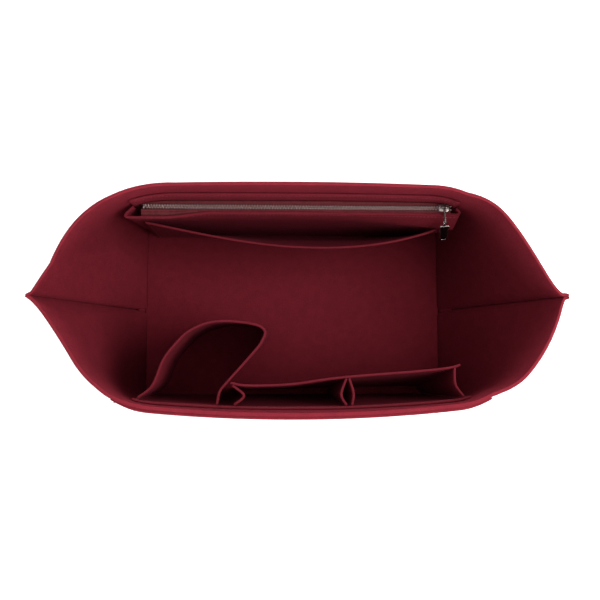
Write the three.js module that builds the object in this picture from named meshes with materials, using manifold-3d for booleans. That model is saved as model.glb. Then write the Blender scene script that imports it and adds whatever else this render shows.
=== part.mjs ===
// Purse organizer insert: an open felt tub with pinched side seams, inner pockets and a metal zip.
// Millimetres, +Z up, +X to the right along the tub, +Y to the back wall, which carries the zip pocket.
// The pieces are made in a frame whose Y = 0 is the plane of the two side seams and whose Z = 0 is the
// surface the tub stands on. The last lines move that frame's bounding box over the origin.
import * as THREE from "three";
import { mergeVertices } from "three/addons/utils/BufferGeometryUtils.js";
import Module from "manifold-3d";

const wasm = await Module();
wasm.setup();

// Felt and clearances
const shellFelt = 3;
const baseFelt = 2.5;
const pocketFelt = 2;
const seat = 0.3; // gap between pieces that touch
const edgeSeat = 0.45; // gap between a felt edge and the face that it meets at a slant
const tapeSeat = 0.5; // tape to the felt that it is stitched to
const overrun = 1; // how far a cutting solid passes the face that it opens

// Shell. Rim corners and walls are given by how far they stand out past the floor's.
const floorLength = 298; // inside the walls
const floorWidth = 174;
const floorCornerBend = 14; // from the virtual corner to where its bend starts
const panelHeight = 170; // cut height of both body panels
const floorRecess = 4; // the floor's edge is turned down by this much, and the tub stands on the edge
const finWidth = 7.5; // seam allowance that stands out at each end
const footSeamBend = 4;
const rimSeamBend = 7;
const rimSeamOut = 76; // side seams
const backRim = {
  wallOut: 3.5,
  bow: 2.3,
  left: { cornerOut: 16.5, cornerBend: 48, endBow: 4 },
  right: { cornerOut: 11.5, cornerBend: 48, endBow: 2 },
};
const frontRim = {
  wallOut: 1.5,
  bow: 11.2,
  left: { cornerOut: 14.5, cornerBend: 38, endBow: 0 },
  right: { cornerOut: 14.5, cornerBend: 38, endBow: 11.5 },
};

// Outer pocket on the front wall
const outerPocketDrop = 5; // below the walls' cut edge

// Backing panels inside the walls. What is sewn along a wall is placed by how far in from the floor's
// ends it starts and stops.
const backingDrop = 25;
const backingFootIn = { left: 10, right: 12 };
const frontBackingTopIn = { left: 5, right: 1 };
const zipBackingTopIn = { left: 0, right: 7 };

// Zip
const zipDrop = 42; // middle of the teeth below the walls' cut edge
const zipFromBacking = 6.7; // middle line of the teeth to the backing's face
const tapeThickness = 0.6;
const tapeMargin = 8; // width turned down and stitched to the felt
const tapeShowing = 4.7; // middle line to the front panel's felt
const tapeIn = { left: 8.5, right: 12 };
const chainLeftIn = 12;
const toothPitch = 2.42;
const toothWidth = 0.9;
const toothHeight = 2.4;
const toothPastMiddle = 0.9;
const toothChamfer = 0.25;
const cordNear = 1; // middle line to the cord that carries the teeth
const cordFar = 2;
const cordHeight = 1.5;
const stopLength = 1.7;
const stopWidth = 1.2;
const stopHeight = 2.9;

// Slider, with its tail to the left and its nose, where the rows part, to the right
const sliderIn = 18; // zip closed
const sliderTail = 5;
const sliderNose = 5;
const tailHalfWidth = 3.2;
const topHalfWidth = 3.9;
const bottomHalfWidth = 3.2;
const shoulderX = 1.2; // where the plates are widest
const plateGap = 0.3; // teeth to plate
const plateThickness = 0.9;
const flangeWidth = 0.8;
const flangeNose = 1.2;
const tapeSlot = 0.25; // clearance above and below the tape
const postBack = 2.6;
const postNose = 4.2;
const postWidth = 0.9;
const bridgeLength = 6.8;
const bridgeWidth = 1.4;
const bridgeThickness = 0.9;
const bridgeOpening = 2.15;

// Pull
const linkWire = 1.1;
const linkBend = 1.75; // bend radius at the middle of the wire
const linkReach = 13.1; // bridge to the middle of the far bend
const bailRadius = 2.3; // ring at the tab's top, round its eye
const eyeRadius = 1;
const neckWidth = 2.8;
const tabDrop = 4.6; // middle of the eye to the tab's shoulders
const tabLength = 22.5; // middle of the eye to the tab's end
const tabTopWidth = 8.6;
const tabEndWidth = 7.6;
const tabCorner = 1.4;
const tabEndCorner = 3;
const tabThickness = 1.2;
const tabLean = THREE.MathUtils.degToRad(25);
const tabSway = THREE.MathUtils.degToRad(8); // to the right, in its own plane

// Zip pocket's front panel, which turns back to the wall at both ends
const zipFrontAboveTeeth = 1.8;
const zipFrontFullBelow = 18; // teeth to the height where it stands out most
const zipFrontFullForward = 6; // its middle there, in front of the teeth
const zipFrontFootDepth = 9.5; // middle of the wall's felt to the middle of this panel's
const zipFrontForward = { left: 2.4, right: 8 }; // at the ends, at its fullest height
const rimForward = 4.6; // its rim beside the left end of the zip
const rimForwardIn = { full: 27, from: 74 }; // from the floor's left end
const zipFrontBend = 6;
const zipStartIn = { foot: { left: 13, right: 16 }, top: { left: 2, right: 6.5 } };
const zipCornerIn = { foot: { left: 6, right: 9.5 }, top: { left: -8, right: 0 } };

// Slip pocket in front of the zip pocket, with its rim where that stands out most
const slipIn = { left: 9.7, right: 21.5 };
const slipBulge = 23.8;
const slipBulgeShares = [0.92, 1.82]; // heights of the bulge curve's two control points

// Bottle pocket: shares of its width from the left and of its depth from the wall
const bottleDrop = 26;
const bottleLeftIn = 9.7;
const bottleWidth = 108.5;
const bottleDepth = 72;
const bottleFootSpread = 6; // how much further it reaches at its foot
const bottleEndShare = 0.621;
const bottleShares = [
  [0.11, 0.18],
  [0.2, 0.51],
  [0.3, 0.72],
  [0.4, 0.87],
  [0.6, 1],
  [0.95, 0.968],
  [1, 0.9],
  [0.97, 0.767],
  [0.88, 0.594],
  [0.714, 0.303],
  [0.645, 0.17],
];

// Slot pockets: one face on four gussets, placed along the face by shares of its length
const slotDrop = 26;
const slotFromBottle = 11.6; // end of the bottle pocket to the left end of the face
const slotRightIn = { foot: 19, top: 9.6 };
const slotDepth = 28;
const slotFootShare = 0.3; // depth at the foot to depth at the rim
const slotFaceShares = [
  [0, 0.71],
  [0.05, 0.65],
  [0.17, 0.665],
  [0.27, 0.71],
  [0.43, 0.86],
  [0.6, 0.935],
  [0.95, 0.995],
  [1, 1.04],
];
const gussetBow = { left: 12.3, midLeft: 6, midRight: 3.3, right: 4.8 }; // at the rim
const bowedRight = ["left", "midRight"];
const gussetBowShares = { left: 0.5, midLeft: 0.4, midRight: 0.42, right: 0.45 };
const gussetWallShares = { left: 0.016, midLeft: 0.501, midRight: 0.524, right: 1.013 };
const gussetFaceShares = { left: 0.009, midLeft: 0.5, midRight: 0.5135, right: 0.975 };

// Colours
const feltRed = 0x6b1620;
const tapeRed = 0x70343a;
const nickel = 0xb9b2ad;
const gunmetal = 0x4a4342;

// Sample counts
const shellSteps = [1, 4, 5, 8, 12, 8, 5, 4, 1]; // fin, seam bend, end, corner, wall and back again
const firstEndPoint = shellSteps[0] + shellSteps[1];
const firstOuterPoint = firstEndPoint + shellSteps[2] + shellSteps[3] / 2;
const shellRowShares = [0, 0.06, 0.3, 0.55, 0.8, 1];
const backingShares = [0, 0.025, 0.05, 0.075, 0.1, 0.2, 0.3, 0.4, 0.5, 0.6, 0.7, 0.8, 0.9, 0.925, 0.95, 0.975, 1];
const backingRows = 5;
const zipFrontSteps = [2, 5, 16, 5, 2];
const pocketRows = 4;
const slipSteps = 20;
const curveSteps = 4; // between two points of a smooth curve
const gussetSteps = 8;
const linkSteps = 8; // round each bend
const wireSides = 8;
const eyeSteps = 12;

// Sizes that follow
const seamBand = floorRecess + baseFelt; // height of the walls' vertical foot, stitched to the base
const footZ = seamBand + seat; // foot of everything that stands on the floor
const backingDepth = shellFelt / 2 + seat + pocketFelt / 2; // from the middle of the wall's felt
const faceDepth = backingDepth + pocketFelt / 2;
const floorEndX = floorLength / 2;
const outerPocketTop = panelHeight - outerPocketDrop;
const backingTop = panelHeight - backingDrop;
const bottleTop = panelHeight - bottleDrop;
const slotTop = panelHeight - slotDrop;
const zipZ = panelHeight - zipDrop;
const zipFrontTop = zipZ + zipFrontAboveTeeth;
const slipTop = zipZ - zipFrontFullBelow;
const chainLeft = chainLeftIn - floorEndX;
const sliderX = floorEndX - sliderIn;
const teethPerRow = Math.floor((sliderX + shoulderX - chainLeft) / toothPitch);
const topStopX = sliderX + sliderNose + seat + stopLength / 2;
const bottleLeft = bottleLeftIn - floorEndX;
const bottleEnd = bottleLeft + bottleWidth * bottleEndShare;

const { lerp } = THREE.MathUtils;

// Numbers from first to last, evenly spaced.
function spread(first, last, steps) {
  return Array.from({ length: steps + 1 }, (_, i) => lerp(first, last, i / steps));
}

// A closed sheet of even thickness round a grid of points, with its rows from foot to top.
function sheet(rows, thickness) {
  const last = rows.length - 1;
  const columns = rows[0].length;
  const faces = [[], []];
  rows.forEach((row, r) => {
    row.forEach((point, c) => {
      const along = row[Math.min(c + 1, columns - 1)].clone().sub(row[Math.max(c - 1, 0)]);
      const up = rows[Math.min(r + 1, last)][c].clone().sub(rows[Math.max(r - 1, 0)][c]);
      const normal = along.cross(up);
      if (r === 0) normal.z = 0; // a level foot
      normal.setLength(thickness / 2);
      faces[0].push(point.clone().add(normal));
      faces[1].push(point.clone().sub(normal));
    });
  });
  const index = [];
  const at = (face, r, c) => (face * rows.length + r) * columns + c;
  const quad = (a, b, c, d) => index.push(a, b, c, a, c, d);
  const end = columns - 1;
  for (let r = 0; r < last; r += 1) {
    for (let c = 0; c < end; c += 1) {
      quad(at(0, r, c), at(0, r, c + 1), at(0, r + 1, c + 1), at(0, r + 1, c));
      quad(at(1, r, c), at(1, r + 1, c), at(1, r + 1, c + 1), at(1, r, c + 1));
    }
    quad(at(0, r, 0), at(0, r + 1, 0), at(1, r + 1, 0), at(1, r, 0));
    quad(at(0, r, end), at(1, r, end), at(1, r + 1, end), at(0, r + 1, end));
  }
  for (let c = 0; c < end; c += 1) {
    quad(at(0, 0, c), at(1, 0, c), at(1, 0, c + 1), at(0, 0, c + 1));
    quad(at(0, last, c), at(0, last, c + 1), at(1, last, c + 1), at(1, last, c));
  }
  const geometry = new THREE.BufferGeometry().setFromPoints(faces.flat());
  geometry.setIndex(index);
  geometry.computeVertexNormals();
  return geometry;
}

// A plan line through corners that are rounded from their bend distance on, with fixed sample counts.
function bentLine(corners, steps) {
  const at = corners.map(({ x, y }) => new THREE.Vector2(x, y));
  const from = (corner, to, distance) => to.clone().sub(corner).setLength(distance).add(corner);
  const curves = [];
  let start = at[0];
  for (let i = 1; i < at.length - 1; i += 1) {
    const before = from(at[i], at[i - 1], corners[i].bend);
    const after = from(at[i], at[i + 1], corners[i].bend);
    curves.push(new THREE.LineCurve(start, before));
    curves.push(new THREE.QuadraticBezierCurve(before, at[i], after));
    start = after;
  }
  curves.push(new THREE.LineCurve(start, at[at.length - 1]));
  return curves.flatMap((curve, i) => curve.getPoints(steps[i]).slice(i === 0 ? 0 : 1));
}

// A smooth plan line through points.
function smoothLine(points) {
  const through = points.map(([x, y]) => new THREE.Vector3(x, y, 0));
  const curve = new THREE.CatmullRomCurve3(through, false, "centripetal");
  return curve.getPoints((points.length - 1) * curveSteps).map(({ x, y }) => new THREE.Vector2(x, y));
}

// A plan line moved sideways, to the left of its direction.
function shifted(points, distance) {
  return points.map((point, i) => {
    const next = points[Math.min(i + 1, points.length - 1)];
    const along = next.clone().sub(points[Math.max(i - 1, 0)]).setLength(distance);
    return new THREE.Vector2(point.x - along.y, point.y + along.x);
  });
}

function yOn(points, x) {
  const i = Math.max(1, points.findIndex((point) => point.x >= x));
  const share = (x - points[i - 1].x) / (points[i].x - points[i - 1].x);
  return lerp(points[i - 1].y, points[i].y, share);
}

const raised = (points, z) => points.map(({ x, y }) => new THREE.Vector3(x, y, z));

// How far a felt edge stands off the face that it meets, where it runs by this much along the face and
// this much away from it.
function standOff(along, away) {
  return edgeSeat + ((pocketFelt / 2) * Math.abs(along)) / Math.hypot(along, away);
}

// Pushes a point out of the straight line from seam to corner, most at a third of the way.
function bowedEnd(point, seam, corner, bow) {
  const line = corner.clone().sub(seam);
  const share = point.clone().sub(seam).dot(line) / line.lengthSq();
  if (share <= 0 || share >= 1) return;
  const fullest = 1 / 3;
  const height = (share * (1 - share) ** 2) / (fullest * (1 - fullest) ** 2);
  const outwards = Math.sign(seam.x * corner.y);
  const push = new THREE.Vector2(line.y, -line.x).setLength(outwards * bow * height);
  point.add(push);
}

// Half of the shell in plan, at the middle of its felt: from the left fin round the wall to the right fin.
function halfOutline(side, seamX, seamBend, { wallOut, bow, left, right }) {
  const finY = (side * (seat + shellFelt)) / 2;
  const seams = [new THREE.Vector2(-seamX, finY), new THREE.Vector2(seamX, finY)];
  const wallY = floorWidth / 2 + shellFelt / 2 + wallOut;
  const cornerX = floorEndX + shellFelt / 2;
  const corners = [
    new THREE.Vector2(-cornerX - left.cornerOut, side * wallY),
    new THREE.Vector2(cornerX + right.cornerOut, side * wallY),
  ];
  const points = bentLine(
    [
      { x: -seamX - finWidth, y: finY },
      { x: -seamX, y: finY, bend: seamBend },
      { x: corners[0].x, y: corners[0].y, bend: left.cornerBend },
      { x: corners[1].x, y: corners[1].y, bend: right.cornerBend },
      { x: seamX, y: finY, bend: seamBend },
      { x: seamX + finWidth, y: finY },
    ],
    shellSteps,
  );
  points.forEach((point) => {
    const hand = point.x < 0 ? 0 : 1;
    const out = point.x / corners[hand].x;
    const end = [left, right][hand];
    bowedEnd(point, seams[hand], corners[hand], end.endBow);
    if (out < 1) point.y += side * bow * (1 - out ** 2);
  });
  return points;
}

// One body panel as rows of points: a vertical foot, then a straight slope to the rim. The cut height is
// the same all round, so the rim dips where the panel leans out.
function panelRows(side, rim) {
  const footCorner = { cornerOut: 0, cornerBend: floorCornerBend, endBow: 0 };
  const foot = { wallOut: 0, bow: 0, left: footCorner, right: footCorner };
  const seamX = floorEndX + shellFelt / 2;
  const low = halfOutline(side, seamX, footSeamBend, foot);
  const high = halfOutline(side, seamX + rimSeamOut, rimSeamBend, rim);
  const slope = panelHeight - seamBand;
  const rows = shellRowShares.map((share) =>
    low.map((point, i) => {
      const rise = Math.sqrt(slope ** 2 - point.distanceToSquared(high[i]));
      const plan = point.clone().lerp(high[i], share);
      return new THREE.Vector3(plan.x, plan.y, seamBand + rise * share);
    }),
  );
  return [raised(low, 0), ...rows];
}

const backWall = { side: 1, rows: panelRows(1, backRim) };
const frontWall = { side: -1, rows: panelRows(-1, frontRim) };
const zipY = yOn(insideWall(backWall, zipZ, faceDepth), 0) - zipFromBacking;
const zipFrontY = zipY - tapeShowing - pocketFelt / 2;

// The middle of a wall's felt in plan at height z.
function wallPlan({ rows }, z) {
  return rows[0].map((_, c) => {
    const r = Math.max(1, rows.findIndex((row) => row[c].z >= z));
    const share = (z - rows[r - 1][c].z) / (rows[r][c].z - rows[r - 1][c].z);
    const point = rows[r - 1][c].clone().lerp(rows[r][c], share);
    return new THREE.Vector2(point.x, point.y);
  });
}

// The plan line at a depth inside a wall.
function insideWall(wall, z, depth) {
  const points = shifted(wallPlan(wall, z), -wall.side * depth);
  return points.slice(firstEndPoint, points.length - firstEndPoint);
}

function basePanel() {
  const outline = (depth) => {
    const back = insideWall(backWall, 0, depth);
    const front = insideWall(frontWall, 0, depth);
    return new THREE.Shape([...back, ...front.reverse()]);
  };
  const edge = shellFelt / 2 + seat;
  const block = extruded(outline(edge), 0, seamBand);
  const recess = extruded(outline(edge + baseFelt), -overrun, floorRecess);
  return geometryOf(solidOf(block).subtract(solidOf(recess)));
}

function outerPocketPanel() {
  const rows = spread(0, outerPocketTop, pocketRows + 1).map((z) => {
    const points = shifted(wallPlan(frontWall, z), frontWall.side * (shellFelt + seat));
    return raised(points.slice(firstOuterPoint, points.length - firstOuterPoint), z);
  });
  return sheet(rows, shellFelt);
}

// A felt ply that lies flat on the inside of a wall.
function backingPanel(wall, topIn) {
  const rows = spread(footZ, backingTop, backingRows).map((z) => {
    const share = (z - footZ) / (backingTop - footZ);
    const line = insideWall(wall, z, backingDepth);
    const left = lerp(backingFootIn.left, topIn.left, share) - floorEndX;
    const right = floorEndX - lerp(backingFootIn.right, topIn.right, share);
    const xs = backingShares.map((along) => lerp(left, right, along));
    return xs.map((x) => new THREE.Vector3(x, yOn(line, x), z));
  });
  return sheet(rows, pocketFelt);
}

// The zip pocket's front panel between its ends: how far its middle is forward at x and z.
function zipFrontLine(x, z) {
  const footY = floorWidth / 2 + shellFelt / 2 - zipFrontFootDepth;
  const low = z < slipTop;
  const share = low ? (z - footZ) / (slipTop - footZ) : (zipFrontTop - z) / (zipFrontTop - slipTop);
  const middle = lerp(low ? footY : zipFrontY, zipY - zipFrontFullForward, share);
  const hand = x < 0 ? "left" : "right";
  const end = floorEndX - slipIn[hand];
  const nearRim = Math.max(0, (z - slipTop) / (zipFrontTop - slipTop));
  const rimLean = THREE.MathUtils.smoothstep(-x, floorEndX - rimForwardIn.from, floorEndX - rimForwardIn.full);
  return middle - zipFrontForward[hand] * share * (x / end) ** 2 - rimForward * nearRim * rimLean;
}

function zipFrontPlan(z) {
  const share = (z - footZ) / (zipFrontTop - footZ);
  const face = insideWall(backWall, z, faceDepth);
  const middleY = zipFrontLine(0, z);
  const at = (places, hand) => {
    const x = floorEndX - lerp(places.foot[hand], places.top[hand], share);
    return hand === "left" ? -x : x;
  };
  const start = (hand) => {
    const x = at(zipStartIn, hand);
    const away = yOn(face, x) - middleY;
    return { x, y: yOn(face, x) - standOff(at(zipCornerIn, hand) - x, away) };
  };
  const corner = (hand) => ({ x: at(zipCornerIn, hand), y: middleY, bend: zipFrontBend });
  const corners = [start("left"), corner("left"), corner("right"), start("right")];
  const points = bentLine(corners, zipFrontSteps);
  points.forEach((point) => {
    const reach = (corners[0].y - point.y) / (corners[0].y - middleY);
    point.y += (zipFrontLine(point.x, z) - middleY) * Math.max(0, reach);
  });
  return points;
}

function zipFrontPanel() {
  const low = spread(footZ, slipTop, pocketRows);
  const high = spread(slipTop, zipFrontTop, 2).slice(1);
  return sheet([...low, ...high].map((z) => raised(zipFrontPlan(z), z)), pocketFelt);
}

// The slip pocket's panel lies on the zip pocket's front panel at its foot and sides.
function slipPocketPanel() {
  const [near, far] = slipBulgeShares;
  const bulge = new THREE.CubicBezierCurve(
    new THREE.Vector2(0, 0),
    new THREE.Vector2(0, near),
    new THREE.Vector2(0, far),
    new THREE.Vector2(0, 0),
  );
  const clear = pocketFelt + edgeSeat;
  const rows = spread(footZ, slipTop, pocketRows).map((z) => {
    const fullness = slipBulge * ((z - footZ) / (slipTop - footZ));
    return spread(0, 1, slipSteps).map((share) => {
      const x = lerp(slipIn.left - floorEndX, floorEndX - slipIn.right, share);
      const y = zipFrontLine(x, z) - clear - fullness * bulge.getPoint(share).y;
      return new THREE.Vector3(x, y, z);
    });
  });
  return sheet(rows, pocketFelt);
}

// Plan points on the front wall's backing panel, from x and the depth in front of it.
function onFrontBacking(points, z) {
  const face = insideWall(frontWall, z, faceDepth);
  return points.map(([x, depth]) => [x, yOn(face, x) + depth]);
}

function bottlePocketPanel() {
  const rows = spread(footZ, bottleTop, pocketRows).map((z) => {
    const spreadOut = bottleFootSpread * (1 - (z - footZ) / (bottleTop - footZ));
    const between = bottleShares.map(([along, out]) => [
      bottleLeft + bottleWidth * along + spreadOut * along * out,
      (bottleDepth + spreadOut) * out,
    ]);
    const [next] = between;
    const last = between[between.length - 1];
    const startDepth = standOff(next[0] - bottleLeft, next[1]);
    const endDepth = standOff(last[0] - bottleEnd, last[1]);
    const points = [[bottleLeft, startDepth], ...between, [bottleEnd, endDepth]];
    return raised(smoothLine(onFrontBacking(points, z)), z);
  });
  return sheet(rows, pocketFelt);
}

// Sizes of the slot pockets at height z.
function slotAt(z) {
  const share = (z - footZ) / (slotTop - footZ);
  const depthShare = lerp(slotFootShare, 1, share);
  const left = bottleEnd + slotFromBottle;
  const length = floorEndX - lerp(slotRightIn.foot, slotRightIn.top, share) - left;
  const face = slotFaceShares.map(([along, out]) => [left + length * along, slotDepth * out * depthShare]);
  return { open: share, left, length, face: smoothLine(face) };
}

function slotFacePanel() {
  const rows = spread(footZ, slotTop, pocketRows).map((z) => {
    const points = slotAt(z).face.map(({ x, y }) => [x, y]);
    return onFrontBacking(points, z).map(([x, y]) => new THREE.Vector3(x, y, z));
  });
  return sheet(rows, pocketFelt);
}

function slotGussetPanel(place) {
  const side = bowedRight.includes(place) ? 1 : -1;
  const bowShare = gussetBowShares[place];
  const rows = spread(footZ, slotTop, pocketRows).map((z) => {
    const { open, left, length, face } = slotAt(z);
    const wallX = left + length * gussetWallShares[place];
    const faceX = left + length * gussetFaceShares[place];
    const room = yOn(face, faceX) - pocketFelt / 2;
    const bowX = lerp(wallX, faceX, bowShare) + side * gussetBow[place] * open;
    const bowDepth = room * bowShare;
    const places = [
      [wallX, standOff(bowX - wallX, bowDepth)],
      [bowX, bowDepth],
      [faceX, room - standOff(bowX - faceX, room - bowDepth)],
    ];
    const [wall, bow, end] = onFrontBacking(places, z).map(([x, y]) => new THREE.Vector2(x, y));
    return raised(new THREE.CubicBezierCurve(wall, bow, bow, end).getPoints(gussetSteps), z);
  });
  return sheet(rows, pocketFelt);
}

const cordRight = topStopX - stopLength / 2 - seat / 2;

// Half of the zip's tape: flat beside the teeth, with its margin turned down against the felt.
function zipperTape(side, feltLine) {
  const xs = backingShares.map((share) => lerp(tapeIn.left - floorEndX, floorEndX - tapeIn.right, share));
  const margin = side * (tapeSeat + tapeThickness / 2);
  const edge = zipY + side * (cordFar + seat);
  const turnShares = [0.2, 0.5, 1];
  const turnDrops = [tapeThickness / 2, 0, 0];
  const down = [zipZ - tapeMargin, zipZ - 2 * tapeThickness];
  const rows = down.map((z) => xs.map((x) => new THREE.Vector3(x, feltLine(x, z) - margin, z)));
  turnShares.forEach((share, i) => {
    const z = zipZ - turnDrops[i];
    rows.push(xs.map((x) => new THREE.Vector3(x, lerp(feltLine(x, zipZ) - margin, edge, share), z)));
  });
  return sheet(rows, tapeThickness);
}

const rearFeltLine = (x, z) => yOn(insideWall(backWall, z, faceDepth), x);
const frontFeltLine = (x, z) => zipFrontLine(x, z) + pocketFelt / 2;

// One row of teeth with the cord that carries it. Each tooth reaches past the middle line.
function zipperTeeth(side, firstShare) {
  const edges = [zipY + side * cordNear, zipY + side * cordFar].sort((a, b) => a - b);
  const cord = box(chainLeft, cordRight, ...edges, zipZ - cordHeight / 2, zipZ + cordHeight / 2);
  const half = toothWidth / 2;
  const chamfer = toothChamfer;
  const outline = [
    [-half, cordFar],
    [-half, chamfer - toothPastMiddle],
    [chamfer - half, -toothPastMiddle],
    [half - chamfer, -toothPastMiddle],
    [half, chamfer - toothPastMiddle],
    [half, cordFar],
  ];
  let chain = solidOf(cord);
  for (let i = 0; i < teethPerRow; i += 1) {
    const x = chainLeft + toothPitch * (i + firstShare);
    const places = outline.map(([along, across]) => new THREE.Vector2(x + along, zipY + side * across));
    const tooth = extruded(new THREE.Shape(places), zipZ - toothHeight / 2, zipZ + toothHeight / 2);
    chain = chain.add(solidOf(tooth));
  }
  return geometryOf(chain);
}

function stop(x, y, width) {
  const geometry = new THREE.BoxGeometry(stopLength, width, stopHeight);
  return geometry.translate(x, y, zipZ);
}

// A slider plate in plan: straight at the tail, widest at the shoulder, with a rounded nose.
function sliderPlate(halfWidth, low, high) {
  const shape = new THREE.Shape();
  shape.moveTo(-sliderTail, -tailHalfWidth);
  shape.lineTo(-sliderTail / 2, -tailHalfWidth);
  shape.lineTo(shoulderX, -halfWidth);
  shape.quadraticCurveTo(sliderNose, -halfWidth, sliderNose, 0);
  shape.quadraticCurveTo(sliderNose, halfWidth, shoulderX, halfWidth);
  shape.lineTo(-sliderTail / 2, tailHalfWidth);
  shape.lineTo(-sliderTail, tailHalfWidth);
  return extruded(shape, low, high, wireSides / 2);
}

function box(x0, x1, y0, y1, z0, z1) {
  const geometry = new THREE.BoxGeometry(x1 - x0, y1 - y0, z1 - z0);
  return geometry.translate((x0 + x1) / 2, (y0 + y1) / 2, (z0 + z1) / 2);
}

const plateLow = toothHeight / 2 + plateGap;
const plateHigh = plateLow + plateThickness;
const pivotZ = plateHigh + bridgeOpening + bridgeThickness / 2;

// The bridge that holds the link, an arch along the slider.
function sliderBridge() {
  const half = bridgeLength / 2;
  const inner = half - bridgeThickness;
  const top = plateHigh + bridgeOpening;
  const foot = (plateLow + plateHigh) / 2;
  const shape = new THREE.Shape();
  shape.moveTo(-half, foot);
  shape.lineTo(-half, top - bridgeThickness / 2);
  shape.quadraticCurveTo(-half, top + bridgeThickness, -inner / 2, top + bridgeThickness);
  shape.lineTo(inner / 2, top + bridgeThickness);
  shape.quadraticCurveTo(half, top + bridgeThickness, half, top - bridgeThickness / 2);
  shape.lineTo(half, foot);
  shape.lineTo(inner, foot);
  shape.lineTo(inner, top - bridgeThickness);
  shape.quadraticCurveTo(inner, top, inner - bridgeThickness, top);
  shape.lineTo(bridgeThickness - inner, top);
  shape.quadraticCurveTo(-inner, top, -inner, top - bridgeThickness);
  shape.lineTo(-inner, foot);
  const geometry = extruded(shape, -bridgeWidth / 2, bridgeWidth / 2, wireSides / 2);
  return geometry.rotateX(Math.PI / 2);
}

function zipperSlider() {
  const flangeLow = tapeThickness / 2 + tapeSlot;
  const pieces = [
    sliderPlate(topHalfWidth, plateLow, plateHigh),
    sliderPlate(bottomHalfWidth, -plateHigh, -plateLow),
    box(postBack, postNose, -postWidth / 2, postWidth / 2, -plateHigh, plateHigh),
    sliderBridge(),
  ];
  const middle = (plateLow + plateHigh) / 2;
  for (const side of [-1, 1]) {
    const edges = [side * tailHalfWidth, side * (tailHalfWidth - flangeWidth)].sort((a, b) => a - b);
    pieces.push(box(-sliderTail, flangeNose, ...edges, flangeLow, middle));
    pieces.push(box(-sliderTail, flangeNose, ...edges, -middle, -flangeLow));
  }
  return geometryOf(pieces.map(solidOf).reduce((whole, piece) => whole.add(piece)));
}

// An oval ring of round wire in the plane X = 0, from the bridge's axis towards -Y.
function pullLink() {
  const middle = [];
  for (let bend = 0; bend < 2; bend += 1) {
    for (let i = 0; i <= linkSteps; i += 1) {
      const angle = Math.PI * (bend + i / linkSteps);
      middle.push({ angle, centre: bend * -linkReach });
    }
  }
  const points = [];
  middle.forEach(({ angle, centre }) => {
    for (let s = 0; s < wireSides; s += 1) {
      const turn = (2 * Math.PI * s) / wireSides;
      const radius = linkBend + (linkWire / 2) * Math.cos(turn);
      const x = (linkWire / 2) * Math.sin(turn);
      points.push(new THREE.Vector3(x, centre + radius * Math.sin(angle), radius * Math.cos(angle)));
    }
  });
  const index = [];
  const rings = middle.length;
  for (let r = 0; r < rings; r += 1) {
    for (let s = 0; s < wireSides; s += 1) {
      const a = r * wireSides + s;
      const b = r * wireSides + ((s + 1) % wireSides);
      const c = ((r + 1) % rings) * wireSides + ((s + 1) % wireSides);
      const d = ((r + 1) % rings) * wireSides + s;
      index.push(a, b, c, a, c, d);
    }
  }
  const geometry = new THREE.BufferGeometry().setFromPoints(points);
  geometry.setIndex(index);
  geometry.computeVertexNormals();
  return geometry;
}

// The tab hangs from its eye along -Z, flat in the XZ plane. Its ring narrows to a neck, and below its
// shoulders it tapers to a rounded end.
function pullTab() {
  const top = tabTopWidth / 2;
  const end = tabEndWidth / 2;
  const neck = neckWidth / 2;
  const neckAngle = Math.asin(neck / bailRadius);
  const shape = new THREE.Shape();
  shape.moveTo(neck, -tabDrop);
  shape.absarc(0, 0, bailRadius, neckAngle - Math.PI / 2, 1.5 * Math.PI - neckAngle, false);
  shape.lineTo(-neck, -tabDrop);
  shape.lineTo(tabCorner - top, -tabDrop);
  shape.quadraticCurveTo(-top, -tabDrop, -top, -tabDrop - tabCorner);
  shape.lineTo(-end, tabEndCorner - tabLength);
  shape.quadraticCurveTo(-end, -tabLength, tabEndCorner - end, -tabLength);
  shape.lineTo(end - tabEndCorner, -tabLength);
  shape.quadraticCurveTo(end, -tabLength, end, tabEndCorner - tabLength);
  shape.lineTo(top, -tabDrop - tabCorner);
  shape.quadraticCurveTo(top, -tabDrop, top - tabCorner, -tabDrop);
  shape.lineTo(neck, -tabDrop);
  const angles = spread(0, 2 * Math.PI, eyeSteps).slice(1);
  const eye = angles.map((angle) => new THREE.Vector2(Math.cos(angle), Math.sin(angle)));
  shape.holes.push(new THREE.Path(eye.map((point) => point.multiplyScalar(eyeRadius))));
  const geometry = extruded(shape, -tabThickness / 2, tabThickness / 2, eyeSteps);
  return geometry.rotateX(Math.PI / 2);
}

function extruded(shape, low, high, curveSegments = 1) {
  const options = { depth: high - low, bevelEnabled: false, curveSegments };
  return new THREE.ExtrudeGeometry(shape, options).translate(0, 0, low);
}

function solidOf(geometry) {
  const bare = geometry.clone();
  bare.deleteAttribute("normal");
  bare.deleteAttribute("uv");
  const merged = mergeVertices(bare);
  const mesh = new wasm.Mesh({
    numProp: 3,
    vertProperties: merged.attributes.position.array,
    triVerts: new Uint32Array(merged.index.array),
  });
  return new wasm.Manifold(mesh);
}

function geometryOf(solid) {
  const { vertProperties, triVerts } = solid.getMesh();
  const geometry = new THREE.BufferGeometry();
  geometry.setAttribute("position", new THREE.BufferAttribute(vertProperties, 3));
  geometry.setIndex(new THREE.BufferAttribute(triVerts, 1));
  geometry.computeVertexNormals();
  return geometry;
}

const felt = () => new THREE.MeshStandardMaterial({ color: feltRed, roughness: 0.95, metalness: 0 });
const weave = () => new THREE.MeshStandardMaterial({ color: tapeRed, roughness: 0.85, metalness: 0 });
const metal = (color) => new THREE.MeshStandardMaterial({ color, roughness: 0.3, metalness: 1 });

function named(name, geometry, material) {
  const mesh = new THREE.Mesh(geometry, material);
  mesh.name = name;
  return mesh;
}

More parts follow.
